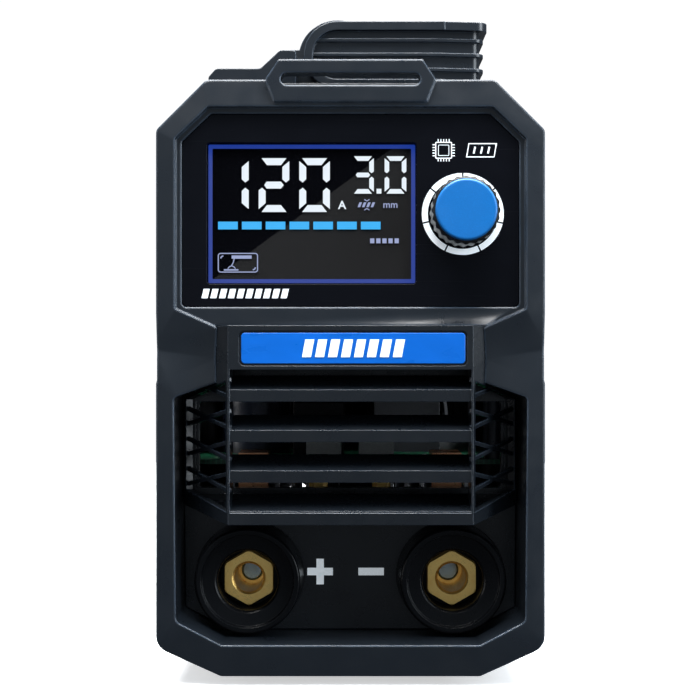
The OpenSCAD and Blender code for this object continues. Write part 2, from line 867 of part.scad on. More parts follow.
module carry_handle() {
    rib_t = 1.1;
    rib_z = [189.9, 194.7, 199.3];
    rim_end = 30;                   // where the rim hands over to the bands
    color(slate) at_front() difference() {
        intersection() {
            union() {
                plan(arm_low - 1, arm_top + 1) polygon(grip_outline(0));
                plan(arm_top - band_h, arm_top + 1) polygon(grip_outline(band_o));
                plan(arm_low - 1, arm_low + band_h) polygon(grip_outline(rib_o));
                for (z = rib_z) plan(z - rib_t / 2, z + rib_t / 2) polygon(grip_outline(rib_o));
                // Rim round the outer face of each arm
                for (d = [arm_front - band_o, arm_rear - 0.5])
                    difference() {
                        slab(d, d + band_o + 0.5) polygon(arm_outline(0));
                        slab(d - 1, d + band_o + 2) polygon(arm_outline(band_h));
                        block([rim_end, d - 1, arm_low - 1], [rim_end + 30, d + 5, arm_top + 1]);
                    }
            }
            slab(0, case_l) polygon(arm_outline(0));
        }
        bar(pivot_x, pivot_z, 3 + run, arm_front + 1.5, arm_front + arm_t + 1);
        bar(pivot_x, pivot_z, 3 + run, arm_rear - arm_t - 1, arm_rear - 1.5);
    }
}

module handle_pins() {
    depth = 3.3;                    // how far a pin reaches into its arm
    color(steel) at_front() {
        bar(pivot_x, pivot_z, 3, arm_front + arm_t - depth, post_front + post_t);
        bar(pivot_x, pivot_z, 3, post_rear - post_t, arm_rear - arm_t + depth);
    }
}

hump_top = 189.5;
hump_screw_x = -34;
hump_screw_d = [60, 120, 180];

module handle_base() {
    post_r = 12.5;
    base_front = 12;
    base_rear = 206;
    cover_top = case_h - 2;
    shoulder_x = -17.2;
    ridge_z = 195.3;
    post_seat = 197.4;              // top of the ridge where it meets the posts
    plate_x = 6;
    hump = [
        [-44.8, 0], [-44.8, case_h + 2.8], [-42.4, hump_top], [-28.4, hump_top], [-22.2, ridge_z],
        [shoulder_x, ridge_z], [shoulder_x, 0]
    ];
    color(slate) at_front() difference() {
        intersection() {
            union() {
                slab(base_front, base_rear)
                    polygon(rounded([for (i = [6 : -1 : 0]) hump[i]], [1, 1, 1.8, 2.5, 1.8, 1.2, 1]));
                // Posts that hold the pins, and the plates between and behind them
                for (d = [post_front, post_rear - post_t])
                    slab(d, d + post_t) {
                        translate([pivot_x, pivot_z]) circle(r = post_r);
                        polygon([
                            [shoulder_x - 2, case_h - 3], [plate_x, case_h - 3], [plate_x, pivot_z],
                            [pivot_x, post_seat], [shoulder_x - 2, post_seat]
                        ]);
                    }
                block([shoulder_x - 1, post_front, case_h - 3], [plate_x, post_rear, case_h + 1.6]);
                block([shoulder_x - 1, post_rear - 1, case_h - 3], [plate_x, base_rear, arm_low - 0.4]);
            }
            // It rests on the bezel in front and on the cover, which is lower, behind
            union() {
                block([-60, 0, case_h + fit], [60, bezel_d + 2, 220]);
                block([-60, bezel_d + fit, cover_top], [60, case_l, 220]);
            }
        }
        for (d = [post_front, post_rear - post_t])
            bar(pivot_x, pivot_z, 3, d - 1, d + post_t + 1);
        for (d = hump_screw_d)
            translate([hump_screw_x, d, hump_top]) {
                translate([0, 0, -3]) cylinder(r = 4.6, h = 4);
                translate([0, 0, -20]) cylinder(r = 2.1, h = 20);
            }
    }
}

module handle_base_screws() {
    head_r = 4.2;
    color(steel) at_front() for (d = hump_screw_d)
        translate([hump_screw_x, d, hump_top - 3]) difference() {
            union() {
                cylinder(r = head_r, h = 2.2);
                translate([0, 0, -7]) cylinder(r = 2, h = 7);
            }
            translate([0, 0, 0.8]) cylinder(r = 1.9, h = 2, $fn = 6);
        }
}

module handle_bumpers() {
    gap = 0.3;
    cover_top = case_h - 2;
    color(rubber) at_front() for (d = [70, 150])
        translate([grip_x - grip_w / 2, d, cover_top]) rotate_extrude()
            polygon([[0, 0], [5, 0], [4.4, arm_low - gap - cover_top], [0, arm_low - gap - cover_top]]);
}

// ---- Rear ----

switch_x = -27;
switch_z = 146;
switch_w = 21;
switch_h = 28.6;
gland_x = 27;
gland_z = 146;
fan_hole = fan_size * 41.25 / 92;
rear_screw_x = 50;
rear_screw_z = [14, 128, 166];

module rear_panel() {
    color(slate) at_front() difference() {
        slab(skirt_d, case_l) polygon(case_round);
        slab(skirt_d - 1, rear_d) polygon(inset(case_pts, 2 - fit));
        bar(0, fan_z, fan_size / 2 - 3, rear_d - 1, case_l + 1);
        both() for (s = [-1, 1]) bar(fan_hole, fan_z + s * fan_hole, 2.3, rear_d - 1, case_l + 1);
        slab(rear_d - 1, case_l + 1)
            polygon(rounded(rect(switch_x, switch_z, switch_w + 0.2, switch_h + 0.2), 1));
        bar(gland_x, gland_z, 8.1, rear_d - 1, case_l + 1);
        for (z = rear_screw_z) both() bar(rear_screw_x, z, 1.8, rear_d - 1, case_l + 1);
    }
}

module rear_screws() {
    head_r = 3.4;
    color(steel) at_front() for (z = rear_screw_z)
        both() difference() {
            union() {
                turned(rear_screw_x, z) polygon([
                    [0, case_l], [head_r, case_l], [head_r, case_l + 0.7],
                    [head_r - 0.9, case_l + 1.8], [0, case_l + 1.8]
                ]);
                bar(rear_screw_x, z, 1.7, rear_d - 4, case_l + 0.5);
            }
            for (a = [0, 90])
                translate([rear_screw_x, 0, z]) rotate([0, a, 0])
                    block([-1.9, case_l + 0.9, -0.4], [1.9, case_l + 3, 0.4]);
        }
}

fan_front = rear_d - fan_t;

module fan_frame() {
    duct_r = fan_size / 2 - 2.4;
    hub_r = 17;
    strut_w = 4;
    web_t = 3;
    corner = fan_size / 2 - fan_hole + 4;
    color(black) at_front() {
        difference() {
            slab(fan_front, rear_d) polygon(rounded(rect(0, fan_z, fan_size, fan_size), 4));
            bar(0, fan_z, duct_r, fan_front - 1, rear_d + 1);
            // Cut-back sides between the two corner flanges
            for (a = [0 : 90 : 270])
                translate([0, 0, fan_z]) rotate([0, a, 0])
                    block([-fan_hole + 6, fan_front + 4, duct_r + 1.6],
                          [fan_hole - 6, rear_d - 4, fan_size]);
            both() for (s = [-1, 1])
                bar(fan_hole, fan_z + s * fan_hole, 2.2, fan_front - 1, rear_d + 1);
        }
        // Motor seat, its struts and the pin that the rotor turns on
        bar(0, fan_z, hub_r, fan_front, fan_front + web_t);
        intersection() {
            for (a = [45 : 90 : 315])
                translate([0, 0, fan_z]) rotate([0, a, 0])
                    block([hub_r - 2, fan_front, -strut_w / 2], [60, fan_front + web_t, strut_w / 2]);
            bar(0, fan_z, duct_r + 0.5, fan_front - 1, fan_front + web_t + 1);
        }
        bar(0, fan_z, 2, fan_front + 1, rear_d - 5);
    }
}

module fan_rotor() {
    hub_r = 18;
    hub_front = fan_front + 4;
    hub_back = rear_d - 3;
    tip_r = fan_size / 2 - 4;
    blade_t = 1.8;
    pitch = 38;
    color([0.10, 0.10, 0.11]) at_front() difference() {
        union() {
            bar(0, fan_z, hub_r, hub_front, hub_back);
            intersection() {
                for (i = [0 : fan_blades - 1])
                    translate([0, (hub_front + hub_back) / 2, fan_z])
                        rotate([0, i * 360 / fan_blades, 0]) rotate([pitch, 0, 0])
                            translate([hub_r - 3, -blade_t / 2, -13]) cube([tip_r, blade_t, 26]);
                bar(0, fan_z, tip_r, hub_front, hub_back);
            }
        }
        bar(0, fan_z, 2 + run, hub_front - 1, rear_d - 4.5);
        // Motor cup, open towards the seat
        turned(0, fan_z) polygon([
            [5, hub_front - 1], [hub_r - 2, hub_front - 1], [hub_r - 2, hub_front + 9],
            [5, hub_front + 9]
        ]);
    }
}

module fan_guard() {
    ring_w = 2;
    guard_t = 2.4;
    rings = 5;
    ring_pitch = 8.4;
    first_r = 9;
    ear_r = 5;
    color(black) at_front() difference() {
        union() {
            bar(0, fan_z, 5.5, case_l, case_l + guard_t);
            for (i = [0 : rings - 1])
                turned(0, fan_z) translate([first_r + i * ring_pitch, case_l])
                    square([ring_w, guard_t]);
            for (a = [45 : 90 : 315])
                translate([0, 0, fan_z]) rotate([0, a, 0])
                    block([3, case_l + 0.2, -1.6], [fan_hole * sqrt(2), case_l + guard_t - 0.2, 1.6]);
            both() for (s = [-1, 1])
                bar(fan_hole, fan_z + s * fan_hole, ear_r, case_l, case_l + guard_t);
        }
        both() for (s = [-1, 1])
            bar(fan_hole, fan_z + s * fan_hole, 2.3, case_l - 1, case_l + guard_t + 1);
    }
}

module fan_screws() {
    head_at = case_l + 2.4;
    head_r = 3.8;
    color(steel) at_front() both() for (s = [-1, 1])
        difference() {
            union() {
                turned(fan_hole, fan_z + s * fan_hole) polygon([
                    [0, head_at], [head_r, head_at], [head_r, head_at + 0.8],
                    [head_r - 1, head_at + 2.2], [0, head_at + 2.2]
                ]);
                bar(fan_hole, fan_z + s * fan_hole, 2.1, fan_front + 2, head_at + 0.5);
            }
            translate([fan_hole, 0, fan_z + s * fan_hole]) for (a = [0, 90])
                rotate([0, a, 0])
                    block([-2.1, head_at + 1.2, -0.45], [2.1, head_at + 4, 0.45]);
        }
}

rocker_axis_d = case_l + 0.6;
rocker_pin_r = 1.5;
rocker_tilt = 8;

module switch_housing() {
    flange = 2;
    flange_t = 2;
    wall = 1.6;
    body_front = case_l - 24;
    color(black) at_front() difference() {
        union() {
            slab(case_l, case_l + flange_t) polygon(rounded(
                rect(switch_x, switch_z, switch_w + 2 * flange, switch_h + 2 * flange), 1.5));
            slab(body_front, case_l + 1)
                polygon(rounded(rect(switch_x, switch_z, switch_w, switch_h), 1));
            // Blade terminals
            for (x = [-5, 5])
                for (z = [-7, 7])
                    block([switch_x + x - 0.4, body_front - 8, switch_z + z - 3.1],
                          [switch_x + x + 0.4, body_front + 1, switch_z + z + 3.1]);
        }
        slab(body_front + 10, case_l + 5)
            polygon(rect(switch_x, switch_z, switch_w - 2 * wall, switch_h - 2 * wall));
        // Bearing holes for the rocker's pins
        translate([switch_x - switch_w, rocker_axis_d - 4, switch_z]) rotate([0, 90, 0])
            cylinder(r = rocker_pin_r + run, h = 2 * switch_w);
    }
}

module switch_rocker() {
    half = switch_w / 2 - 1.6 - 0.35;
    reach = switch_h / 2 - 1.6 - 1.2;
    axis_d = rocker_axis_d - 4;
    bowl_r = 46;
    top = 6.4;                      // distance of the rocker's ends in front of its axis
    color(black) at_front() translate([switch_x, axis_d, switch_z]) rotate([-rocker_tilt, 0, 0]) {
        difference() {
            rail(-half, half) polygon(rounded(
                [[-3, -reach + 3], [-3, reach - 3], [top, reach], [top, -reach]],
                [1.2, 1.2, 1, 1]));
            // Dished face
            translate([0, top + bowl_r - 1.8, 0]) rotate([0, 90, 0])
                cylinder(r = bowl_r, h = 2 * half + 2, center = true, $fn = 96);
        }
        translate([-half - 1.6, 0, 0]) rotate([0, 90, 0])
            cylinder(r = rocker_pin_r, h = 2 * half + 3.2);
    }
}

gland_nose = case_l + gland_out;

module cord_gland() {
    color(black) at_front() difference() {
        union() {
            bar(gland_x, gland_z, 8, rear_d - 8, case_l + 1);
            hex_bar(gland_x, gland_z, 22, case_l, case_l + 5);
            bar(gland_x, gland_z, 8.6, case_l + 4, case_l + 12);
        }
        bar(gland_x, gland_z, 6.2, rear_d - 9, case_l + 13);
    }
}

module gland_seal() {
    color(rubber) at_front() difference() {
        turned(gland_x, gland_z) polygon([
            [0, case_l + 2], [6.1, case_l + 2], [6.1, case_l + 12.2], [7.6, case_l + 12.2],
            [6.8, case_l + 14], [0, case_l + 14]
        ]);
        bar(gland_x, gland_z, gland_r, case_l, case_l + 15);
    }
}

module gland_cap() {
    ridges = 12;
    outer_r = 11;
    color(black) at_front() difference() {
        turned(gland_x, gland_z) polygon([
            [8.7, case_l + 5.2], [outer_r, case_l + 5.2], [outer_r, case_l + 12.5],
            [7.4, gland_nose], [5.4, gland_nose], [5.4, case_l + 15], [8.7, case_l + 13]
        ]);
        for (i = [0 : ridges - 1])
            translate([gland_x, 0, gland_z]) rotate([0, i * 360 / ridges, 0])
                bar(outer_r + 0.7, 0, 1.3, case_l + 5, case_l + 13);
    }
}

module gland_lock_nut() {
    color(black) at_front() difference() {
        hex_bar(gland_x, gland_z, 21, rear_d - 4.5, rear_d);
        bar(gland_x, gland_z, 8.05, rear_d - 6, rear_d + 1);
    }
}

// ---- Inside ----

main_half = 54.5;
main_d = [50, 196];
// Stand-offs on the right side as (x, depth)
standoffs = [[11, 66], [36, 192]];

module main_board() {
    color(board_green) at_front() difference() {
        block([-main_half, main_d[0], main_z], [main_half, main_d[1], main_top]);
        for (p = standoffs) both() translate([p[0], p[1], main_z - 1]) cylinder(r = 1.7, h = 4);
    }
}

module board_standoffs() {
    tray_top = 2 + 2 * sheet_t + fit;
    color(brass) at_front() for (p = standoffs)
        both() translate([p[0], p[1], 0]) {
            translate([0, 0, tray_top]) cylinder(r = 3.2, h = main_z - tray_top, $fn = 6);
            translate([0, 0, main_z - 1]) cylinder(r = 1.6, h = board_t + 1.5);
            translate([0, 0, main_top]) cylinder(r = 3, h = 2);
        }
}

sink_d = [84, 186];
sink_x = [9, 43];

module heat_sinks() {
    fin_t = 1.6;
    fins = 7;
    base_t = 5;
    low = 14;
    top = main_z - 3;
    pitch = (sink_x[1] - sink_x[0] - fin_t) / (fins - 1);
    color(alloy) at_front() both() {
        block([sink_x[0], sink_d[0], top - base_t], [sink_x[1], sink_d[1], top]);
        for (i = [0 : fins - 1])
            block([sink_x[0] + i * pitch, sink_d[0], low],
                  [sink_x[0] + i * pitch + fin_t, sink_d[1], top - 1]);
    }
}

module power_transistors() {
    body_l = 15.8;
    body_h = 20;
    body_t = 5;
    leg = 1.2;
    color(black) at_front() both() for (i = [0 : 3])
        translate([sink_x[0] - body_t, sink_d[0] + 6 + i * 24, main_z - 3 - body_h]) {
            cube([body_t, body_l, body_h]);
            for (k = [0 : 2])
                translate([1.5, 2 + k * 5.4, body_h - 1]) cube([0.8, leg, 3 + 1]);
        }
}

module bridge_rectifier() {
    color(ferrite) at_front()
        difference() {
            block([-46, 164, main_top], [-18, 188, main_top + 9]);
            translate([-32, 176, main_top - 1]) cylinder(r = 2.6, h = 12);
        }
}

module bus_capacitors() {
    // Each can as [x, depth, radius, height]
    cans = [[-34, 92, 12.5, 36], [-34, 120, 12.5, 36], [-4, 176, 12.5, 36], [49.8, 56, 4, 24.5]];
    color([0.22, 0.24, 0.30]) at_front() for (c = cans)
        translate([c[0], c[1], main_top]) rotate_extrude() polygon([
            [0, 0], [c[2], 0], [c[2], c[3] - 1], [c[2] - 1, c[3]], [0.8 * c[2], c[3] - 0.6],
            [0, c[3] - 0.6]
        ]);
}

core_x = [-2, 44];
core_d = [92, 136];
core_z = [main_top, main_top + 44];

module transformer_core() {
    leg = 10;
    window_d = [core_d[0] + leg, core_d[1] - leg];
    color(ferrite) at_front() {
        difference() {
            block([core_x[0] + 11, core_d[0], core_z[0]], [core_x[1] - 11, core_d[1], core_z[1]]);
            block([core_x[0], window_d[0], core_z[0] + leg], [core_x[1], window_d[1], core_z[1] - leg]);
        }
        translate([(core_x[0] + core_x[1]) / 2, (core_d[0] + core_d[1]) / 2, core_z[0] + 1])
            cylinder(r = 6, h = 42);
    }
}

module transformer_winding() {
    mid = [(core_x[0] + core_x[1]) / 2, (core_d[0] + core_d[1]) / 2];
    turns = 6;
    turn_r = 2.2;
    coil_r = 9.4;
    color(copper) at_front() translate([mid[0], mid[1], core_z[0]]) difference() {
        union() {
            for (i = [0 : turns - 1])
                translate([0, 0, 12.6 + i * 3.8]) rotate_extrude()
                    translate([coil_r, 0]) circle(r = turn_r, $fn = 24);
            translate([0, 0, 10.6]) cylinder(r = coil_r, h = 22.8);
        }
        translate([0, 0, -1]) cylinder(r = 6.2, h = 60);
    }
}

choke_at = [-30, 148];

module choke_core() {
    color(ferrite) at_front() translate([choke_at[0], choke_at[1], main_top + 3]) rotate_extrude()
        translate([6, 0]) square([5, 12]);
}

module choke_winding() {
    turns = 14;
    color(copper) at_front() translate([choke_at[0], choke_at[1], main_top]) {
        for (i = [0 : turns - 1])
            rotate([0, 0, i * 360 / turns]) difference() {
                translate([3.4, -0.9, 0.4]) cube([10.2, 1.8, 17.2]);
                translate([5.9, -2, 2.9]) cube([5.2, 4, 12.2]);
            }
    }
}

module output_relay() {
    color(black) at_front() {
        block([-20, 70, main_top], [-2, 88, main_top + 19]);
        block([-19, 71, main_top + 18], [-3, 87, main_top + 20]);
    }
}

module board_connectors() {
    color(white) at_front() for (x = [-9, 9])
        difference() {
            block([x - 6, 54, main_top], [x + 6, 61, main_top + 8]);
            block([x - 5, 55, main_top + 2], [x + 5, 60, main_top + 9]);
        }
}

front_bezel();
control_fascia();
display_lens();
lcd_module();
dial_ring();
badge_strip();
front_grille();
socket_panel();
polarity_marks();
positive_socket_ring();
negative_socket_ring();
positive_socket_contact();
negative_socket_contact();
socket_lock_nuts();
terminal_bolts();
terminal_washers();
positive_busbar();
negative_busbar();
knob_skirt();
knob_cap();
encoder_shaft();
encoder_plunger();
encoder_body();
encoder_nut();
control_board();
control_board_screws();
main_cover();
base_tray();
rubber_feet();
bezel_screws();
cover_screws();
handle_base();
handle_base_screws();
carry_handle();
handle_pins();
handle_bumpers();
rear_panel();
rear_screws();
fan_frame();
fan_rotor();
fan_guard();
fan_screws();
switch_housing();
switch_rocker();
cord_gland();
gland_seal();
gland_cap();
gland_lock_nut();
main_board();
board_standoffs();
heat_sinks();
power_transistors();
bridge_rectifier();
bus_capacitors();
transformer_core();
transformer_winding();
choke_core();
choke_winding();
output_relay();
board_connectors();
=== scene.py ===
"""Looks of the stick welding inverter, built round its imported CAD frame.

Metres, X to the right, Y to the back, Z up. Sizes written in millimetres are multiplied by MM.
"""

import math

import bmesh
import bpy
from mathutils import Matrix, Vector


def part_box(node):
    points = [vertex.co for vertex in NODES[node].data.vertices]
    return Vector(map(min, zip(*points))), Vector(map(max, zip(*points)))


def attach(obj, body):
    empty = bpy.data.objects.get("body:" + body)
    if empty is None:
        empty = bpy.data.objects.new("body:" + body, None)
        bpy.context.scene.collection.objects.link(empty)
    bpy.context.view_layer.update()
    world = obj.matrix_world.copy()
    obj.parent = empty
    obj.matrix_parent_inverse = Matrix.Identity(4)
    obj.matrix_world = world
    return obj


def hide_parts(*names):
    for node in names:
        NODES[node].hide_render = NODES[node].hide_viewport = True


MM = 0.001
EDGE_SAMPLES = 6            # rays for each shaded edge
EDGE_WEAR_AND_HIGHLIGHT = 11.0            # how much lighter a moulding's edge is made, partly by wear and partly as a painted highlight
BEVEL_SEGMENTS = 3
SHARP_ANGLE = 28.0          # degrees from which an edge is rounded
SMOOTH_ANGLE = 38.0         # degrees up to which shading runs on across an edge
FLOOR_RADIUS = 0.9

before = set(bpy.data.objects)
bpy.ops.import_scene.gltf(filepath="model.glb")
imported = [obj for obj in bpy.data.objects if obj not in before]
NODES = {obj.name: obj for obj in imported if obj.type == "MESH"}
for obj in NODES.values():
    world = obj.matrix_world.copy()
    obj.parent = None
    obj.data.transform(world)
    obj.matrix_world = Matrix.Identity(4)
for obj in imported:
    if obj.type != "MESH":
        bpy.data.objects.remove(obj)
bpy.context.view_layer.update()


# ---- Materials ----

class Look:
    """A Principled material. Constant values sit on the shader's own sockets."""

    def __init__(self, name, color, roughness, metallic=0.0, **sockets):
        self.mat = bpy.data.materials.new(name)
        self.mat.use_nodes = True
        self.tree = self.mat.node_tree
        self.shader = self.tree.nodes["Principled BSDF"]
        self.set("Base Color", (*color, 1.0))
        self.set("Roughness", roughness)
        self.set("Metallic", metallic)
        for key, value in sockets.items():
            self.set(key.replace("_", " "), value)
        self.point = self.tree.nodes.new("ShaderNodeTexCoord").outputs["Object"]

    def set(self, socket, value):
        self.shader.inputs[socket].default_value = value

    def node(self, kind, **inputs):
        n = self.tree.nodes.new(kind)
        for key, value in inputs.items():
            self.feed(n.inputs[key.replace("_", " ")], value)
        return n

    def feed(self, socket, value):
        """Links a socket's output to this input, or sets it to a plain value."""
        if isinstance(value, bpy.types.NodeSocket):
            self.tree.links.new(value, socket)
        else:
            socket.default_value = value

    def math(self, operation, *values):
        n = self.tree.nodes.new("ShaderNodeMath")
        n.operation = operation
        for socket, value in zip(n.inputs, values):
            self.feed(socket, value)
        return n.outputs[0]

    def vector(self, operation, *values):
        n = self.tree.nodes.new("ShaderNodeVectorMath")
        n.operation = operation
        for socket, value in zip(n.inputs, values):
            self.feed(socket, value)
        return n.outputs["Value" if operation == "DOT_PRODUCT" else "Vector"]

    def noise(self, size, detail=3.0, stretch=None):
        """Noise whose grains are about size metres across."""
        point = self.vector("MULTIPLY", self.point, stretch) if stretch else self.point
        n = self.node("ShaderNodeTexNoise", Vector=point, Scale=1 / size, Detail=detail)
        return n.outputs["Fac"]

    def remap(self, value, low, high, start=0.3, end=0.7):
        """Goes from low to high while the value goes from start to end."""
        n = self.node("ShaderNodeMapRange", Value=value)
        for key, number in zip(("From Min", "From Max", "To Min", "To Max"), (start, end, low, high)):
            n.inputs[key].default_value = number
        return n.outputs["Result"]

    def mix(self, factor, first, second):
        n = self.tree.nodes.new("ShaderNodeMix")
        n.data_type = "RGBA"
        self.feed(n.inputs["Factor"], factor)
        for socket, value in zip((n.inputs[6], n.inputs[7]), (first, second)):
            self.feed(socket, value if isinstance(value, bpy.types.NodeSocket) else (*value, 1.0))
        return n.outputs[2]

    def link(self, output, socket):
        self.tree.links.new(output, self.shader.inputs[socket])

    def bump(self, height, depth, strength):
        """Raises the surface by depth metres where height is 1."""
        n = self.node("ShaderNodeBump", Height=height, Distance=depth, Strength=strength)
        if self.shader.inputs["Normal"].is_linked:
            self.feed(n.inputs["Normal"], self.shader.inputs["Normal"].links[0].from_socket)
        self.link(n.outputs["Normal"], "Normal")

    def edges(self, radius):
        """1 on edges within that radius, 0 on the flat. Also shades those edges as rounded."""
        bevel = self.node("ShaderNodeBevel", Radius=radius)
        bevel.samples = EDGE_SAMPLES
        self.link(bevel.outputs["Normal"], "Normal")
        plain = self.tree.nodes.new("ShaderNodeNewGeometry").outputs["Normal"]
        across = self.vector("DOT_PRODUCT", bevel.outputs["Normal"], plain)
        return self.remap(across, 1.0, 0.0, 0.86, 0.995)

    def axis_distance(self, centre):
        """Distance from an axis along Y through centre, which may be mirrored in X."""
        parts = self.node("ShaderNodeSeparateXYZ", Vector=self.point)
        x = self.math("SUBTRACT", self.math("ABSOLUTE", parts.outputs["X"]), abs(centre[0]))
        z = self.math("SUBTRACT", parts.outputs["Z"], centre[1])
        squares = [self.math("MULTIPLY", side, side) for side in (x, z)]
        return self.math("SQRT", self.math("ADD", *squares))


def lighter(color, factor):
    return tuple(min(1.0, c * factor) for c in color)


def moulded(name, color, roughness, grain=0.35, depth=0.02, wear_and_highlight=0.35, specular=0.4, soft=0.5):
    """Moulded plastic: fine eroded grain, faint handling marks, and lighter edges, soft mm wide, partly
    worn and partly a painted highlight.
    """
    look = Look(name, color, roughness, Specular_IOR_Level=specular)
    patches = look.noise(28 * MM, 4.0)
    fine = look.noise(grain * MM, 2.0)
    edge = look.edges(soft * MM)
    toned = look.mix(patches, lighter(color, 0.86), lighter(color, 1.14))
    speckled = look.mix(look.remap(fine, 0.0, 0.35, 0.45, 0.75), toned, lighter(color, 1.5))
    # Lighter edges: partly wear, partly a painted highlight where the lights would catch them.
    edge_wear_and_highlight = look.math("MULTIPLY", edge, look.remap(look.noise(6 * MM), wear_and_highlight * 0.5, wear_and_highlight))
    look.link(look.mix(edge_wear_and_highlight, speckled, lighter(color, EDGE_WEAR_AND_HIGHLIGHT)), "Base Color")
    rough = look.remap(look.noise(9 * MM, 5.0), roughness - 0.05, roughness + 0.06)
    look.link(look.math("SUBTRACT", rough, look.math("MULTIPLY", edge, 0.12)), "Roughness")
    look.bump(fine, depth * MM, 0.6)
    return look.mat


def painted(name, color, roughness):
    """Powder coat on sheet metal: orange peel and a few dust specks."""
    look = Look(name, color, roughness, Specular_IOR_Level=0.4)
    peel = look.noise(0.9 * MM, 2.0)
    speck = look.remap(look.noise(0.5 * MM, 1.0), 0.0, 1.0, 0.68, 0.74)
    toned = look.mix(look.noise(40 * MM, 4.0), lighter(color, 0.85), lighter(color, 1.15))
    look.link(look.mix(speck, toned, lighter(color, 2.2)), "Base Color")
    look.link(look.remap(look.noise(12 * MM, 5.0), roughness - 0.06, roughness + 0.06), "Roughness")
    look.bump(peel, 0.035 * MM, 0.7)
    return look.mat


def glossy(name, color, roughness, specular):
    """Polished plastic with faint smears and hairline scratches."""
    look = Look(name, color, roughness, Specular_IOR_Level=specular)
    smear = look.noise(14 * MM, 6.0, stretch=(1.0, 1.0, 2.2))
    scratch = look.noise(3 * MM, 2.0, stretch=(0.06, 1.0, 3.0))
    look.link(look.mix(smear, lighter(color, 0.8), lighter(color, 1.25)), "Base Color")
    look.link(look.math("ADD", look.remap(smear, roughness - 0.05, roughness + 0.07),
                        look.remap(scratch, 0.0, 0.08, 0.62, 0.72)), "Roughness")
    look.bump(look.noise(30 * MM, 1.0), 0.02 * MM, 0.3)
    return look.mat


def machined(name, color, roughness, centre=None, tarnish=(0.5, 0.36, 0.2), lift=0.0):
    """Bare metal: turned rings round an axis, or drawn streaks, with light tarnish.

    lift is a faint glow of its own colour, for metal that would mirror only the dark.
    """
    look = Look(name, color, roughness, metallic=1.0,
                Emission_Color=(*color, 1.0), Emission_Strength=lift)
    if centre:
        radius = look.axis_distance(centre)
        rings = look.node("ShaderNodeTexNoise", Detail=2.0)
        rings.noise_dimensions = "1D"
        look.feed(rings.inputs["W"], look.math("MULTIPLY", radius, 1 / (0.22 * MM)))
        marks = rings.outputs["Fac"]
    else:
        marks = look.noise(0.5 * MM, 3.0, stretch=(1.0, 0.08, 1.0))
    blotch = look.noise(2.5 * MM, 5.0)
    dull = tuple(c * t * 1.6 for c, t in zip(color, tarnish))
    look.link(look.mix(look.remap(blotch, 0.0, 0.45, 0.5, 0.75), color, dull), "Base Color")
    look.link(look.math("ADD", look.remap(marks, roughness - 0.06, roughness + 0.08),
                        look.remap(blotch, 0.0, 0.12)), "Roughness")
    look.bump(marks, 0.02 * MM, 0.5)
    return look.mat


def soft_rubber(name, color):
    """Dull rubber with a little dust on it."""
    look = Look(name, color, 0.75, Specular_IOR_Level=0.3)
    dust = look.noise(4 * MM, 5.0)
    look.link(look.mix(dust, color, lighter(color, 2.4)), "Base Color")
    look.link(look.remap(dust, 0.66, 0.86), "Roughness")
    look.bump(look.noise(0.5 * MM, 2.0), 0.05 * MM, 0.6)
    return look.mat


def glowing(name, color, strength):
    """Lit part of the display, with the slight unevenness of its backlight."""
    look = Look(name, color, 0.5, Emission_Color=(*color, 1.0), Emission_Strength=strength)
    look.link(look.mix(look.noise(4 * MM, 2.0), lighter(color, 0.93), color), "Emission Color")
    look.set("Base Color", (0.02, 0.02, 0.02, 1.0))
    return look.mat


def printed(name, color):
    """Screen-printed ink: thin, slightly uneven and a little brighter than its light makes it."""
    look = Look(name, color, 0.5, Specular_IOR_Level=0.3,
                Emission_Color=(*color, 1.0), Emission_Strength=0.35)
    ink = look.noise(1.2 * MM, 4.0)
    look.link(look.mix(look.remap(ink, 0.0, 1.0, 0.3, 0.6), lighter(color, 0.82), color), "Base Color")
    look.link(look.remap(ink, 0.42, 0.6), "Roughness")
    return look.mat


def clear_lens(name):
    """A nearly clear window, with faint smears in its gloss."""
    look = Look(name, (0.0, 0.0, 0.0), 0.03, Specular_IOR_Level=0.03, Alpha=0.08)
    look.link(look.remap(look.noise(16 * MM, 6.0), 0.05, 0.1), "Roughness")
    return look.mat


def film_with_painted_reflection(name, corner, slope):
    """The panel behind the lens: black, with a painted reflection as a lighter field below the diagonal
    through corner.
    """
    look = Look(name, (0.002, 0.002, 0.003), 0.5, Specular_IOR_Level=0.0)
    parts = look.node("ShaderNodeSeparateXYZ", Vector=look.point)
    line = look.math("ADD", corner[1], look.math(
        "MULTIPLY", look.math("SUBTRACT", parts.outputs["X"], corner[0]), slope))
    below = look.remap(look.math("SUBTRACT", line, parts.outputs["Z"]), 0.0, 1.0, -0.2 * MM, 0.2 * MM)
    cells = look.noise(0.4 * MM, 1.0)
    # The lighter field is a painted reflection on the black panel.
    lit = look.mix(cells, (0.0165, 0.0165, 0.017), (0.0195, 0.0195, 0.020))
    dark = look.mix(cells, (0.0015, 0.0016, 0.0025), (0.0025, 0.0027, 0.0038))
    look.link(look.mix(below, dark, lit), "Base Color")
    look.link(look.remap(look.noise(8 * MM, 4.0), 0.5, 0.6), "Roughness")
    return look.mat


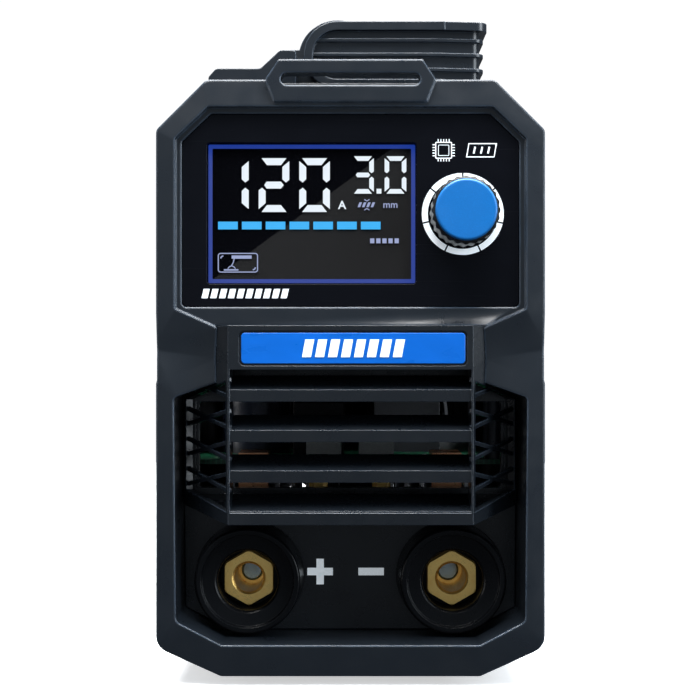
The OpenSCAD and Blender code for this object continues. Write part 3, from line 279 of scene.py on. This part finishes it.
def circuit_board(name, color):
    """Solder mask over copper tracks, with tinned pads."""
    look = Look(name, color, 0.35, Specular_IOR_Level=0.5)
    tracks = look.node("ShaderNodeTexBrick", Vector=look.point, Scale=1 / (3.5 * MM))
    tracks.inputs["Mortar Size"].default_value = 0.06
    tracks.inputs["Color1"].default_value = (0, 0, 0, 1)
    tracks.inputs["Color2"].default_value = (0.1, 0.1, 0.1, 1)
    tracks.inputs["Mortar"].default_value = (1, 1, 1, 1)
    pads = look.node("ShaderNodeTexVoronoi", Vector=look.point, Scale=1 / (4 * MM))
    dots = look.remap(pads.outputs["Distance"], 1.0, 0.0, 0.16, 0.2)
    masked = look.mix(tracks.outputs["Color"], color, lighter(color, 2.0))
    look.link(look.mix(dots, masked, (0.6, 0.6, 0.58)), "Base Color")
    look.link(look.remap(dots, 0.38, 0.25, 0.0, 1.0), "Roughness")
    look.bump(tracks.outputs["Color"], 0.03 * MM, 0.6)
    return look.mat


def banded(name, color, band, low, high):
    """A capacitor's printed sleeve, with a band above high and a darker foot below low."""
    look = Look(name, color, 0.3, Specular_IOR_Level=0.5)
    parts = look.node("ShaderNodeSeparateXYZ", Vector=look.point)
    top = look.remap(parts.outputs["Z"], 0.0, 1.0, high - 0.2 * MM, high)
    shrunk = look.noise(5 * MM, 4.0)
    sleeve = look.mix(look.remap(shrunk, 0.0, 0.4), color, lighter(color, 1.8))
    foot = look.remap(parts.outputs["Z"], 1.0, 0.0, low, low + 0.2 * MM)
    look.link(look.mix(foot, look.mix(top, sleeve, band), lighter(color, 0.5)), "Base Color")
    look.link(look.remap(shrunk, 0.24, 0.4), "Roughness")
    look.bump(shrunk, 0.1 * MM, 0.5)
    return look.mat


SLATE = (0.0062, 0.0088, 0.0125)
looks = {
    "frame": moulded("slate_frame", SLATE, 0.31, wear_and_highlight=0.8, specular=0.42, soft=1.1),
    "slate": moulded("slate_plastic", SLATE, 0.31, wear_and_highlight=0.8, specular=0.42),
    "louvre": moulded("louvre_plastic", lighter(SLATE, 0.6), 0.28, wear_and_highlight=0.9, specular=0.45, soft=0.3),
    "black": moulded("black_plastic", (0.0028, 0.0032, 0.004), 0.26, grain=0.3, wear_and_highlight=0.7,
                     specular=0.14, soft=0.3),
    "skirt": moulded("knob_black", (0.004, 0.0045, 0.0055), 0.32, grain=0.25, wear_and_highlight=0.3, specular=0.3),
    "cover": painted("cover_paint", (0.0105, 0.012, 0.0145), 0.46),
    "fascia": glossy("fascia_gloss", (0.0026, 0.003, 0.0046), 0.2, 0.06),
    "badge": glossy("badge_blue", (0.0, 0.095, 0.44), 0.3, 0.3),
    "cap": moulded("knob_blue", (0.0, 0.10, 0.33), 0.36, grain=0.3, depth=0.012, wear_and_highlight=0.12,
                   specular=0.45),
    "print": printed("white_print", (0.78, 0.84, 0.88)),
    "steel": machined("zinc_steel", (0.34, 0.44, 0.52), 0.28),
    "alloy": machined("extruded_alloy", (0.74, 0.75, 0.77), 0.38, tarnish=(0.5, 0.5, 0.5)),
    "copper": machined("copper", (0.86, 0.42, 0.22), 0.28, tarnish=(0.45, 0.35, 0.3)),
    "rubber": soft_rubber("rubber", (0.012, 0.012, 0.012)),
    "board": circuit_board("circuit_board", (0.008, 0.10, 0.045)),
    "ferrite": moulded("ferrite", (0.022, 0.022, 0.025), 0.55, grain=0.8, depth=0.08, wear_and_highlight=0.5),
    "white": moulded("white_nylon", (0.62, 0.62, 0.58), 0.42, wear_and_highlight=0.2),
    "lens": clear_lens("display_glass"),
}


# ---- Mesh helpers ----

def new_piece(name, mesh, look, body="case", stands_for=None, slot=None):
    """Adds a piece that rides on a body, and may stand for a CAD node."""
    obj = bpy.data.objects.new(name, mesh)
    bpy.context.scene.collection.objects.link(obj)
    mesh.materials.clear()
    mesh.materials.append(look)
    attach(obj, body)
    if stands_for:
        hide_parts(stands_for)
    return obj


def smooth_by_angle(limit):
    """Node group that shades smooth except across edges sharper than limit."""
    group = bpy.data.node_groups.new("smooth_by_angle", "GeometryNodeTree")
    group.interface.new_socket("Geometry", in_out="INPUT", socket_type="NodeSocketGeometry")
    group.interface.new_socket("Geometry", in_out="OUTPUT", socket_type="NodeSocketGeometry")
    start = group.nodes.new("NodeGroupInput")
    end = group.nodes.new("NodeGroupOutput")
    faces = group.nodes.new("GeometryNodeSetShadeSmooth")
    edges = group.nodes.new("GeometryNodeSetShadeSmooth")
    edges.domain = "EDGE"
    edges.inputs["Shade Smooth"].default_value = False
    angle = group.nodes.new("GeometryNodeInputMeshEdgeAngle")
    sharp = group.nodes.new("FunctionNodeCompare")
    sharp.operation = "GREATER_THAN"
    sharp.inputs[1].default_value = limit
    group.links.new(start.outputs[0], faces.inputs["Geometry"])
    group.links.new(faces.outputs[0], edges.inputs["Geometry"])
    group.links.new(angle.outputs["Unsigned Angle"], sharp.inputs[0])
    group.links.new(sharp.outputs[0], edges.inputs["Selection"])
    group.links.new(edges.outputs[0], end.inputs[0])
    return group


SHADING = smooth_by_angle(math.radians(SMOOTH_ANGLE))


def evaluated(obj):
    """The object's mesh with its modifiers applied."""
    graph = bpy.context.evaluated_depsgraph_get()
    mesh = bpy.data.meshes.new_from_object(obj.evaluated_get(graph), depsgraph=graph)
    bpy.data.objects.remove(obj)
    return mesh


def work_object(name, mesh):
    """An object that only lasts until its modifiers are applied."""
    obj = bpy.data.objects.new(name, mesh)
    bpy.context.scene.collection.objects.link(obj)
    return obj


def weigh_edges(mesh, share):
    """Gives each sharp edge its share of the rounding, from where its two ends lie."""
    bm = bmesh.new()
    bm.from_mesh(mesh)
    layer = bm.edges.layers.float.new("bevel_weight_edge")
    for edge in bm.edges:
        if len(edge.link_faces) == 2 and edge.calc_face_angle(0.0) > math.radians(SHARP_ANGLE):
            edge[layer] = share(edge.verts[0].co, edge.verts[1].co)
    bm.to_mesh(mesh)
    bm.free()


# Their flat faces have windows that joining the faces would close
WINDOWED = ("front_bezel", "fan_frame")


def rounded_mesh(node, width, share=None):
    """The node's mesh with its sharp edges rounded off, to width where there is room for it."""
    source = NODES[node].data.copy()
    source.name = node + "_source"
    obj = work_object(node + "_work", source)
    weld = obj.modifiers.new("weld", "WELD")
    weld.merge_threshold = 0.002 * MM
    if node not in WINDOWED:
        flat = obj.modifiers.new("flat", "DECIMATE")
        flat.decimate_type = "DISSOLVE"
        flat.angle_limit = math.radians(0.3)
    joined = evaluated(obj)
    bpy.data.meshes.remove(source)
    if share:
        weigh_edges(joined, share)
    obj = work_object(node + "_work", joined)
    bevel = obj.modifiers.new("edge", "BEVEL")
    bevel.width = width
    bevel.segments = BEVEL_SEGMENTS
    bevel.limit_method = "WEIGHT" if share else "ANGLE"
    bevel.angle_limit = math.radians(SHARP_ANGLE)
    bevel.miter_outer = "MITER_ARC"
    shade = obj.modifiers.new("shade", "NODES")
    shade.node_group = SHADING
    weighted = obj.modifiers.new("weighted", "WEIGHTED_NORMAL")
    weighted.keep_sharp = True
    weighted.weight = 60
    mesh = evaluated(obj)
    bpy.data.meshes.remove(joined)
    mesh.name = node + "_rounded"
    return mesh


def bezel_share(a, b):
    """Wide rounding on the bezel's outer front edges, most of all at the top, and little inside."""
    fascia_low, fascia_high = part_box("control_fascia")
    front = fascia_low.y + 4 * MM
    side, top, bottom = 57 * MM, fascia_high.z + 4.5 * MM, 9 * MM     # the outer edges lie beyond these
    shoulder = fascia_high.z - 14 * MM
    middle = (a + b) / 2
    outside = abs(middle.x) > side or middle.z > top or middle.z < bottom
    if middle.y > front or not outside:
        return 0.4
    return 1.0 if middle.z > shoulder else 0.6


def prism(bm, outline, y_front, y_back):
    """Adds an (x, z) outline, listed counter-clockwise from the front, as a closed plate."""
    front = [bm.verts.new((x, y_front, z)) for x, z in outline]
    back = [bm.verts.new((x, y_back, z)) for x, z in outline]
    bm.faces.new(front)
    bm.faces.new(back[::-1])
    count = len(outline)
    for i in range(count):
        j = (i + 1) % count
        bm.faces.new((front[j], front[i], back[i], back[j]))


def ring_outline(outer, inner):
    """Quads between two outlines with the same number of points."""
    count = len(outer)
    return [[outer[i], outer[(i + 1) % count], inner[(i + 1) % count], inner[i]] for i in range(count)]


def plate(name, outlines, y_front, thickness, look, **where):
    """Closed plates that face the front, as one piece."""
    bm = bmesh.new()
    for outline in outlines:
        prism(bm, outline, y_front, y_front + thickness)
    bmesh.ops.remove_doubles(bm, verts=bm.verts, dist=0.001 * MM)
    bmesh.ops.recalc_face_normals(bm, faces=bm.faces)
    mesh = bpy.data.meshes.new(name)
    bm.to_mesh(mesh)
    bm.free()
    return new_piece(name, mesh, look, **where)


def lettering(name, text, centre, height, y_front, thickness, look, weight, **where):
    """A unit as a thin raised plate that faces the front, in the built-in sans serif."""
    curve = bpy.data.curves.new(name, "FONT")
    curve.body = text
    curve.size = 1.0
    curve.offset = weight
    curve.resolution_u = 4
    curve.extrude = 0.5
    temp = bpy.data.objects.new(name + "_text", curve)
    bpy.context.scene.collection.objects.link(temp)
    graph = bpy.context.evaluated_depsgraph_get()
    mesh = bpy.data.meshes.new_from_object(temp.evaluated_get(graph), depsgraph=graph)
    bpy.data.objects.remove(temp)
    low = [min(v.co[i] for v in mesh.vertices) for i in range(3)]
    high = [max(v.co[i] for v in mesh.vertices) for i in range(3)]
    scale = height / (high[1] - low[1])
    for v in mesh.vertices:
        x = centre[0] + (v.co.x - (low[0] + high[0]) / 2) * scale
        z = centre[1] + (v.co.y - (low[1] + high[1]) / 2) * scale
        v.co = (x, y_front + thickness * (0.5 - v.co.z), z)
    mesh.name = name
    return new_piece(name, mesh, look, **where)


def box_outline(x0, z0, x1, z1):
    return [(x0, z0), (x1, z0), (x1, z1), (x0, z1)]


def rounded_outline(x0, z0, x1, z1, r, steps=5):
    points = []
    corners = ((x1 - r, z0 + r, -90), (x1 - r, z1 - r, 0), (x0 + r, z1 - r, 90), (x0 + r, z0 + r, 180))
    for cx, cz, start in corners:
        for k in range(steps + 1):
            a = math.radians(start + 90 * k / steps)
            points.append((cx + r * math.cos(a), cz + r * math.sin(a)))
    return points


def leaning_bar(x, z, width, height, lean):
    return [(x, z), (x + width, z), (x + width + lean, z + height), (x + lean, z + height)]


def frame_outline(x0, z0, x1, z1, r, line):
    """A rounded frame of that line width, as quads."""
    inner_r = max(r - line, line * 0.3)
    return ring_outline(rounded_outline(x0, z0, x1, z1, r),
                        rounded_outline(x0 + line, z0 + line, x1 - line, z1 - line, inner_r))


def stroke(points, width):
    """A line of that width through the points, as quads."""
    quads = []
    for (ax, az), (bx, bz) in zip(points, points[1:]):
        length = math.hypot(bx - ax, bz - az)
        nx, nz = -(bz - az) / length * width / 2, (bx - ax) / length * width / 2
        quads.append([(ax - nx, az - nz), (bx - nx, bz - nz), (bx + nx, bz + nz), (ax + nx, az + nz)])
    return quads


def scaled(outlines, origin):
    """Outlines in millimetres from an origin, in metres."""
    return [[(origin[0] + x * MM, origin[1] + z * MM) for x, z in outline] for outline in outlines]


# ---- CAD nodes that are shown with rounded edges ----

ROUNDED = {
    # node: (piece, body, look, record slot, edge radius in millimetres)
    "front_bezel": ("bezel_moulding", "case", "frame", "slate_plastic", 1.3),
    "socket_panel": ("socket_panel_plate", "case", "louvre", "slate_plastic", 0.3),
    "rear_panel": ("rear_moulding", "case", "slate", "slate_plastic", 0.7),
    "handle_base": ("handle_base_moulding", "case", "slate", "slate_plastic", 0.7),
    "carry_handle": ("handle_moulding", "handle", "slate", "slate_plastic", 0.4),
    "control_fascia": ("fascia_panel", "case", "fascia", "gloss_black", 0.3),
    "display_lens": ("lens_plate", "case", "lens", "display_glass", 0.3),
    "badge_strip": ("badge_plate", "case", "badge", "badge_blue", 0.3),
    "main_cover": ("cover_sheet", "case", "cover", "cover_paint", 0.3),
    "base_tray": ("tray_sheet", "case", "cover", "cover_paint", 0.3),
    "knob_skirt": ("knob_grip", "knob", "skirt", "black_plastic", 0.2),
    "knob_cap": ("knob_disc", "knob", "cap", "knob_blue", 0.15),
    "positive_socket_ring": ("positive_ring", "case", "black", "black_plastic", 0.25),
    "negative_socket_ring": ("negative_ring", "case", "black", "black_plastic", 0.25),
    "switch_housing": ("switch_frame", "case", "black", "black_plastic", 0.4),
    "switch_rocker": ("rocker_key", "rocker", "black", "black_plastic", 0.4),
    "fan_frame": ("fan_housing", "case", "black", "black_plastic", 0.3),
    "fan_rotor": ("fan_blades", "rotor", "black", "black_plastic", 0.25),
    "fan_guard": ("fan_grille", "case", "black", "black_plastic", 0.5),
    "cord_gland": ("gland_body", "case", "black", "black_plastic", 0.4),
    "gland_cap": ("gland_dome", "case", "black", "black_plastic", 0.4),
    "gland_lock_nut": ("gland_nut", "case", "black", "black_plastic", 0.3),
    "socket_lock_nuts": ("socket_nuts", "case", "black", "black_plastic", 0.3),
    "heat_sinks": ("finned_blocks", "case", "alloy", "alloy", 0.2),
    "output_relay": ("relay_block", "case", "black", "black_plastic", 0.5),
    "board_connectors": ("connector_shells", "case", "white", "white_plastic", 0.3),
    "power_transistors": ("transistor_bodies", "case", "black", "black_plastic", 0.3),
    "choke_core": ("choke_ferrite", "case", "ferrite", "ferrite", 0.4),
    "bridge_rectifier": ("rectifier_block", "case", "ferrite", "ferrite", 0.5),
}

# Nodes that keep their CAD mesh and take a look only, listed under that look
KEPT = {
    "louvre": ("front_grille",),
    "ferrite": ("transformer_core",),
    "steel": ("terminal_bolts", "terminal_washers", "encoder_shaft", "encoder_body", "encoder_nut",
              "control_board_screws", "bezel_screws", "cover_screws", "handle_base_screws",
              "handle_pins", "rear_screws", "fan_screws"),
    "copper": ("positive_busbar", "negative_busbar", "transformer_winding", "choke_winding"),
    "rubber": ("rubber_feet", "handle_bumpers", "gland_seal"),
    "alloy": ("encoder_plunger",),
    "print": ("dial_ring", "polarity_marks"),
    "board": ("main_board", "control_board"),
}


def repaint(node, look):
    for material_slot in NODES[node].material_slots:
        material_slot.material = look


def dress_frame():
    """Every node of the two tables above."""
    for node, (piece, body, look, slot, radius) in ROUNDED.items():
        share = bezel_share if node == "front_bezel" else None
        new_piece(piece, rounded_mesh(node, radius * MM, share=share), looks[look], body, node, slot)
    for look, nodes in KEPT.items():
        for node in nodes:
            repaint(node, looks[look])


def dress_brass():
    """The turned contacts, with rings round the sockets' axes, and the stand-offs."""
    low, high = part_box("terminal_bolts")
    hexagon_reach = 7.5 * MM
    socket_at = (high.x - hexagon_reach, (low.z + high.z) / 2)
    brass = machined("contact_brass", (0.93, 0.62, 0.20), 0.28, centre=socket_at,
                     tarnish=(0.55, 0.45, 0.32), lift=0.01)
    for node in ("positive_socket_contact", "negative_socket_contact"):
        new_piece(node.replace("_socket", "") + "_turned", rounded_mesh(node, 0.25 * MM), brass,
                  "case", node, "contact_brass")
    repaint("board_standoffs", brass)


def dress_display_panel():
    """The black film, with a painted reflection whose lighter field ends at a diagonal, near the lens's
    lower left corner.
    """
    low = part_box("display_lens")[0]
    slope = 40.1 / 54.8         # the painted reflection's edge rises this much for each step right
    corner = (low.x + 1.9 * MM, low.z + 1.6 * MM)
    repaint("lcd_module", film_with_painted_reflection("film_with_painted_reflection", corner, slope))


def dress_capacitors():
    """The sleeves, dark at the foot and silvery at the crimp on top."""
    low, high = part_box("bus_capacitors")
    foot_height, crimp_height = 2 * MM, 0.7 * MM
    repaint("bus_capacitors", banded("capacitor_sleeve", (0.012, 0.016, 0.032), (0.6, 0.6, 0.62),
                                     low.z + foot_height, high.z - crimp_height))


# ---- Display ----

# The lit segments of each figure, from a at the top round to f, and g across the middle
SEGMENTS = {"0": "abcdef", "1": "bc", "2": "abged", "3": "abgcd"}


def seven_segments(digit, x, z, w, h, t):
    """Outlines of a seven-segment digit whose cell starts at (x, z)."""
    mid = h / 2
    top = [(0.42 * t, h), (w - 0.42 * t, h), (w - 1.2 * t, h - t), (1.2 * t, h - t)]
    right = [(w, h - 0.42 * t), (w, mid + 0.75 * t), (w - 0.5 * t, mid + 0.38 * t),
             (w - t, mid + 0.85 * t), (w - t, h - 1.28 * t)]
    middle = [(0.8 * t, mid), (1.15 * t, mid + t / 2), (w - 1.2 * t, mid + t / 2), (w - 0.8 * t, mid),
              (w - 1.2 * t, mid - t / 2), (1.15 * t, mid - t / 2)]

    def flip_z(points):
        return [(px, h - pz) for px, pz in points]

    def flip_x(points):
        return [(w - px, pz) for px, pz in points]

    shapes = {"a": top, "b": right, "c": flip_z(right), "d": flip_z(top), "g": middle,
              "e": flip_x(flip_z(right)), "f": flip_x(right)}
    return [[(x + px, z + pz) for px, pz in shapes[s]] for s in SEGMENTS[digit]]


def display_digits():
    """Three large figures, then two small ones with a point between them."""
    outlines = []
    for i, digit in enumerate("120"):
        outlines += seven_segments(digit, 3.2 + i * 12.6, 22.3, w=9.5, h=16.7, t=2.15)
    for i, digit in enumerate("30"):
        outlines += seven_segments(digit, 44.8 + i * 10.1, 28.0, w=6.75, h=11.6, t=1.42)
    return outlines + [box_outline(52.4, 28.0, 53.9, 29.5)]


def process_symbol():
    """An electrode holder over a workpiece, in a rounded frame."""
    holder, workpiece = box_outline(7.4, 7.8, 13.6, 8.8), box_outline(5.0, 4.1, 9.5, 4.55)
    outlines = frame_outline(3.1, 3.5, 15.6, 9.6, 0.9, 0.32) + [holder, workpiece]
    outlines += stroke([(8.2, 7.8), (7.9, 6.6), (7.4, 5.7)], 0.3)
    outlines += stroke([(6.2, 4.7), (6.7, 5.3), (7.4, 5.6), (8.1, 5.3), (8.6, 4.7)], 0.28)
    outlines += stroke([(4.0, 7.9), (4.2, 8.4), (4.8, 8.7)], 0.4)
    return outlines + stroke([(14.0, 4.3), (14.6, 4.6), (14.8, 5.1)], 0.4)


def rod_symbol():
    """A hatched bar between two arrow heads."""
    outlines = [leaning_bar(46.5 + i * 1.35, 23.8, 0.8, 1.5, 0.6) for i in range(4)]
    for z_ends, z_tip in ((26.2, 25.7), (22.9, 23.4)):
        outlines += stroke([(48.6, z_ends), (49.4, z_tip), (50.2, z_ends)], 0.3)
    return outlines


def build_display():
    """Lit graphics between the lens and the panel, placed from the lens's lower left corner."""
    low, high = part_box("display_lens")
    origin = (low.x, low.z)
    width, height = (high.x - low.x) / MM, (high.z - low.z) / MM
    thin = 0.12 * MM
    y = high.y + 0.12 * MM
    white = glowing("display_white", (0.84, 0.92, 1.0), 1.15)
    dim = glowing("display_dim", (0.50, 0.58, 0.95), 0.75)
    cyan = glowing("display_cyan", (0.02, 0.47, 1.0), 1.1)
    edge = glowing("display_edge", (0.007, 0.045, 0.40), 0.85)

    def put(name, outlines, look):
        plate(name, scaled(outlines, origin), y, thin, look, slot="display_glass")

    put("display_digits", display_digits(), white)
    bar_starts = [3.2 + i * 7.39 for i in range(7)]
    put("display_bars", [box_outline(x, 16.9, x + 6.1, 19.3) for x in bar_starts], cyan)
    margin, line = 0.2, 1.25
    inset = margin + line
    put("display_border", ring_outline(
        rounded_outline(margin, margin, width - margin, height - margin, 0.5),
        rounded_outline(inset, inset, width - inset, height - inset, 0.3)), edge)
    put("display_process", process_symbol(), dim)
    put("display_rod", rod_symbol(), dim)
    square_starts = [50.4 + i * 1.9 for i in range(5)]
    put("display_state", [box_outline(x, 12.6, x + 1.3, 14.1) for x in square_starts], dim)
    for name, text, x, z, size, look, weight in (
            ("display_amps", "A", 41.7, 24.5, 2.6, white, 0.02),
            ("display_unit", "mm", 56.7, 24.3, 1.45, dim, 0.01)):
        lettering(name, text, (origin[0] + x * MM, origin[1] + z * MM), size * MM, y, thin, look,
                  weight=weight, slot="display_glass")


# ---- Prints on the fascia and the badge ----

def chip_symbol(cx, cz):
    """A chip with five pins on each of its four sides."""
    half = 2.6
    inner = half - 0.9
    outlines = frame_outline(cx - half, cz - half, cx + half, cz + half, 0.4, 0.3)
    outlines += frame_outline(cx - inner, cz - inner, cx + inner, cz + inner, 0.3, 0.16)
    pin_half_width, pin_half_length = 0.14, 0.4
    for i in range(5):
        along = -1.7 + i * 0.85
        for out in (half + 0.45, -half - 0.45):
            outlines.append(box_outline(cx + along - pin_half_width, cz + out - pin_half_length,
                                        cx + along + pin_half_width, cz + out + pin_half_length))
            outlines.append(box_outline(cx + out - pin_half_length, cz + along - pin_half_width,
                                        cx + out + pin_half_length, cz + along + pin_half_width))
    return outlines


def lamp_symbol(cx, cz):
    """Three rays inside a leaning frame."""
    outer = [(cx - 4.8, cz - 2.2), (cx + 4.0, cz - 2.2), (cx + 4.8, cz + 2.2), (cx - 4.0, cz + 2.2)]
    inner = [(cx - 4.4, cz - 1.9), (cx + 3.8, cz - 1.9), (cx + 4.4, cz + 1.9), (cx - 3.8, cz + 1.9)]
    outlines = ring_outline(outer, inner)
    for i in range(3):
        x = cx - 2.4 + i * 2.2
        outlines += stroke([(x, cz - 1.0), (x + 0.45, cz + 1.1)], 0.55)
    return outlines


def build_prints():
    """White marks on the fascia, placed from its lower left corner, and on the badge."""
    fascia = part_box("control_fascia")[0]
    thin = 0.05 * MM
    ink = looks["print"]

    def put(name, outlines):
        plate(name, scaled(outlines, (fascia.x, fascia.z)), fascia.y - thin, thin, ink,
              slot="white_print")

    symbols_z = 48.4
    put("mark_chip", chip_symbol(80.9, symbols_z))
    put("mark_light", lamp_symbol(92.6, symbols_z))
    put("mark_type", [leaning_bar(6.0 + i * 2.72, 2.65, 1.9, 2.9, 0.7) for i in range(10)])
    low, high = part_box("badge_strip")
    middle = ((low.x + high.x) / 2, (low.z + high.z) / 2)
    bars = [leaning_bar(-15.6 + i * 3.95, -2.7, 2.75, 5.4, 1.0) for i in range(8)]
    raised, thickness = 0.12 * MM, 0.16 * MM
    plate("badge_bars", scaled(bars, middle), low.y - raised, thickness, ink, slot="white_print")


# ---- Stage, lights and camera ----

def build_stage():
    """A pale round floor, a little brighter than its light makes it, that fades into the studio."""
    look = Look("floor_paint", (0.86, 0.87, 0.88), 0.9, Specular_IOR_Level=0.1,
                Emission_Color=(1.0, 1.0, 1.0, 1.0), Emission_Strength=0.55)
    look.link(look.mix(look.noise(0.6, 3.0), (0.85, 0.86, 0.87), (0.87, 0.88, 0.89)), "Base Color")
    bm = bmesh.new()
    bmesh.ops.create_circle(bm, cap_ends=True, segments=96, radius=FLOOR_RADIUS)
    mesh = bpy.data.meshes.new("floor")
    bm.to_mesh(mesh)
    bm.free()
    mesh.materials.append(look.mat)
    floor = bpy.data.objects.new("floor", mesh)
    bpy.context.scene.collection.objects.link(floor)
    floor.visible_glossy = False
    floor.visible_diffuse = False


def area_light(name, at, aim, size, power, color=(1.0, 1.0, 1.0)):
    data = bpy.data.lights.new(name, "AREA")
    data.shape = "RECTANGLE"
    data.size, data.size_y = size
    data.energy = power
    data.color = color
    obj = bpy.data.objects.new(name, data)
    bpy.context.scene.collection.objects.link(obj)
    obj.location = at
    obj.rotation_euler = (Vector(aim) - Vector(at)).to_track_quat("-Z", "Y").to_euler()


def build_world():
    """Pale to the camera, and a dim bluish studio to everything else."""
    world = bpy.data.worlds.new("studio")
    bpy.context.scene.world = world
    world.use_nodes = True
    tree = world.node_tree
    pale = tree.nodes["Background"]
    pale.inputs["Color"].default_value = (1.0, 1.0, 1.0, 1.0)
    pale.inputs["Strength"].default_value = 1.05
    dim = tree.nodes.new("ShaderNodeBackground")
    dim.inputs["Color"].default_value = (0.80, 0.88, 1.0, 1.0)
    dim.inputs["Strength"].default_value = 0.16
    seen = tree.nodes.new("ShaderNodeLightPath").outputs["Is Camera Ray"]
    mix = tree.nodes.new("ShaderNodeMixShader")
    tree.links.new(seen, mix.inputs[0])
    tree.links.new(dim.outputs[0], mix.inputs[1])
    tree.links.new(pale.outputs[0], mix.inputs[2])
    tree.links.new(mix.outputs[0], tree.nodes["World Output"].inputs["Surface"])


def build_lights():
    """Soft boxes: a strong one overhead, weak fills in front and behind, and a strip on each side."""
    area_light("top_box", at=(0.05, -0.16, 1.0), aim=(0.0, -0.06, 0.15), size=(1.3, 0.9), power=80)
    area_light("front_fill", at=(0.1, -1.55, 0.75), aim=(0.0, -0.1, 0.10), size=(3.0, 1.6), power=5,
               color=(0.72, 0.86, 1.0))
    area_light("back_fill", at=(-0.5, 1.5, 0.7), aim=(0.0, 0.1, 0.10), size=(1.6, 1.0), power=9,
               color=(0.85, 0.93, 1.0))
    area_light("right_strip", at=(0.85, -0.50, 0.35), aim=(0.0, -0.05, 0.12), size=(0.35, 0.9),
               power=12, color=(0.85, 0.93, 1.0))
    area_light("left_strip", at=(-0.85, -0.35, 0.30), aim=(0.0, -0.05, 0.10), size=(0.22, 0.8),
               power=2.2)


def build_camera():
    """Level, at the photograph's distance, just left of the middle of the front."""
    data = bpy.data.cameras.new("camera")
    camera = bpy.data.objects.new("camera", data)
    bpy.context.scene.collection.objects.link(camera)
    bpy.context.scene.camera = camera
    distance = 480 * MM             # from the bezel's front rim
    rim_ahead = 2.2 * MM            # of the fascia
    left_of_middle = 1.7 * MM
    eye_height = 102.1 * MM
    rim_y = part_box("control_fascia")[0].y - rim_ahead
    camera.location = (-left_of_middle, rim_y - distance, eye_height)
    camera.rotation_euler = (math.radians(90), 0.0, 0.0)
    data.sensor_width = 36.0
    data.lens = 80.2
    data.shift_x = data.shift_y = 5 / 700       # of the frame's width
    data.clip_start = 0.01


dress_frame()
dress_brass()
dress_display_panel()
dress_capacitors()
build_display()
build_prints()
build_stage()
build_world()
build_lights()
build_camera()
bpy.context.scene.view_settings.view_transform = "Standard"
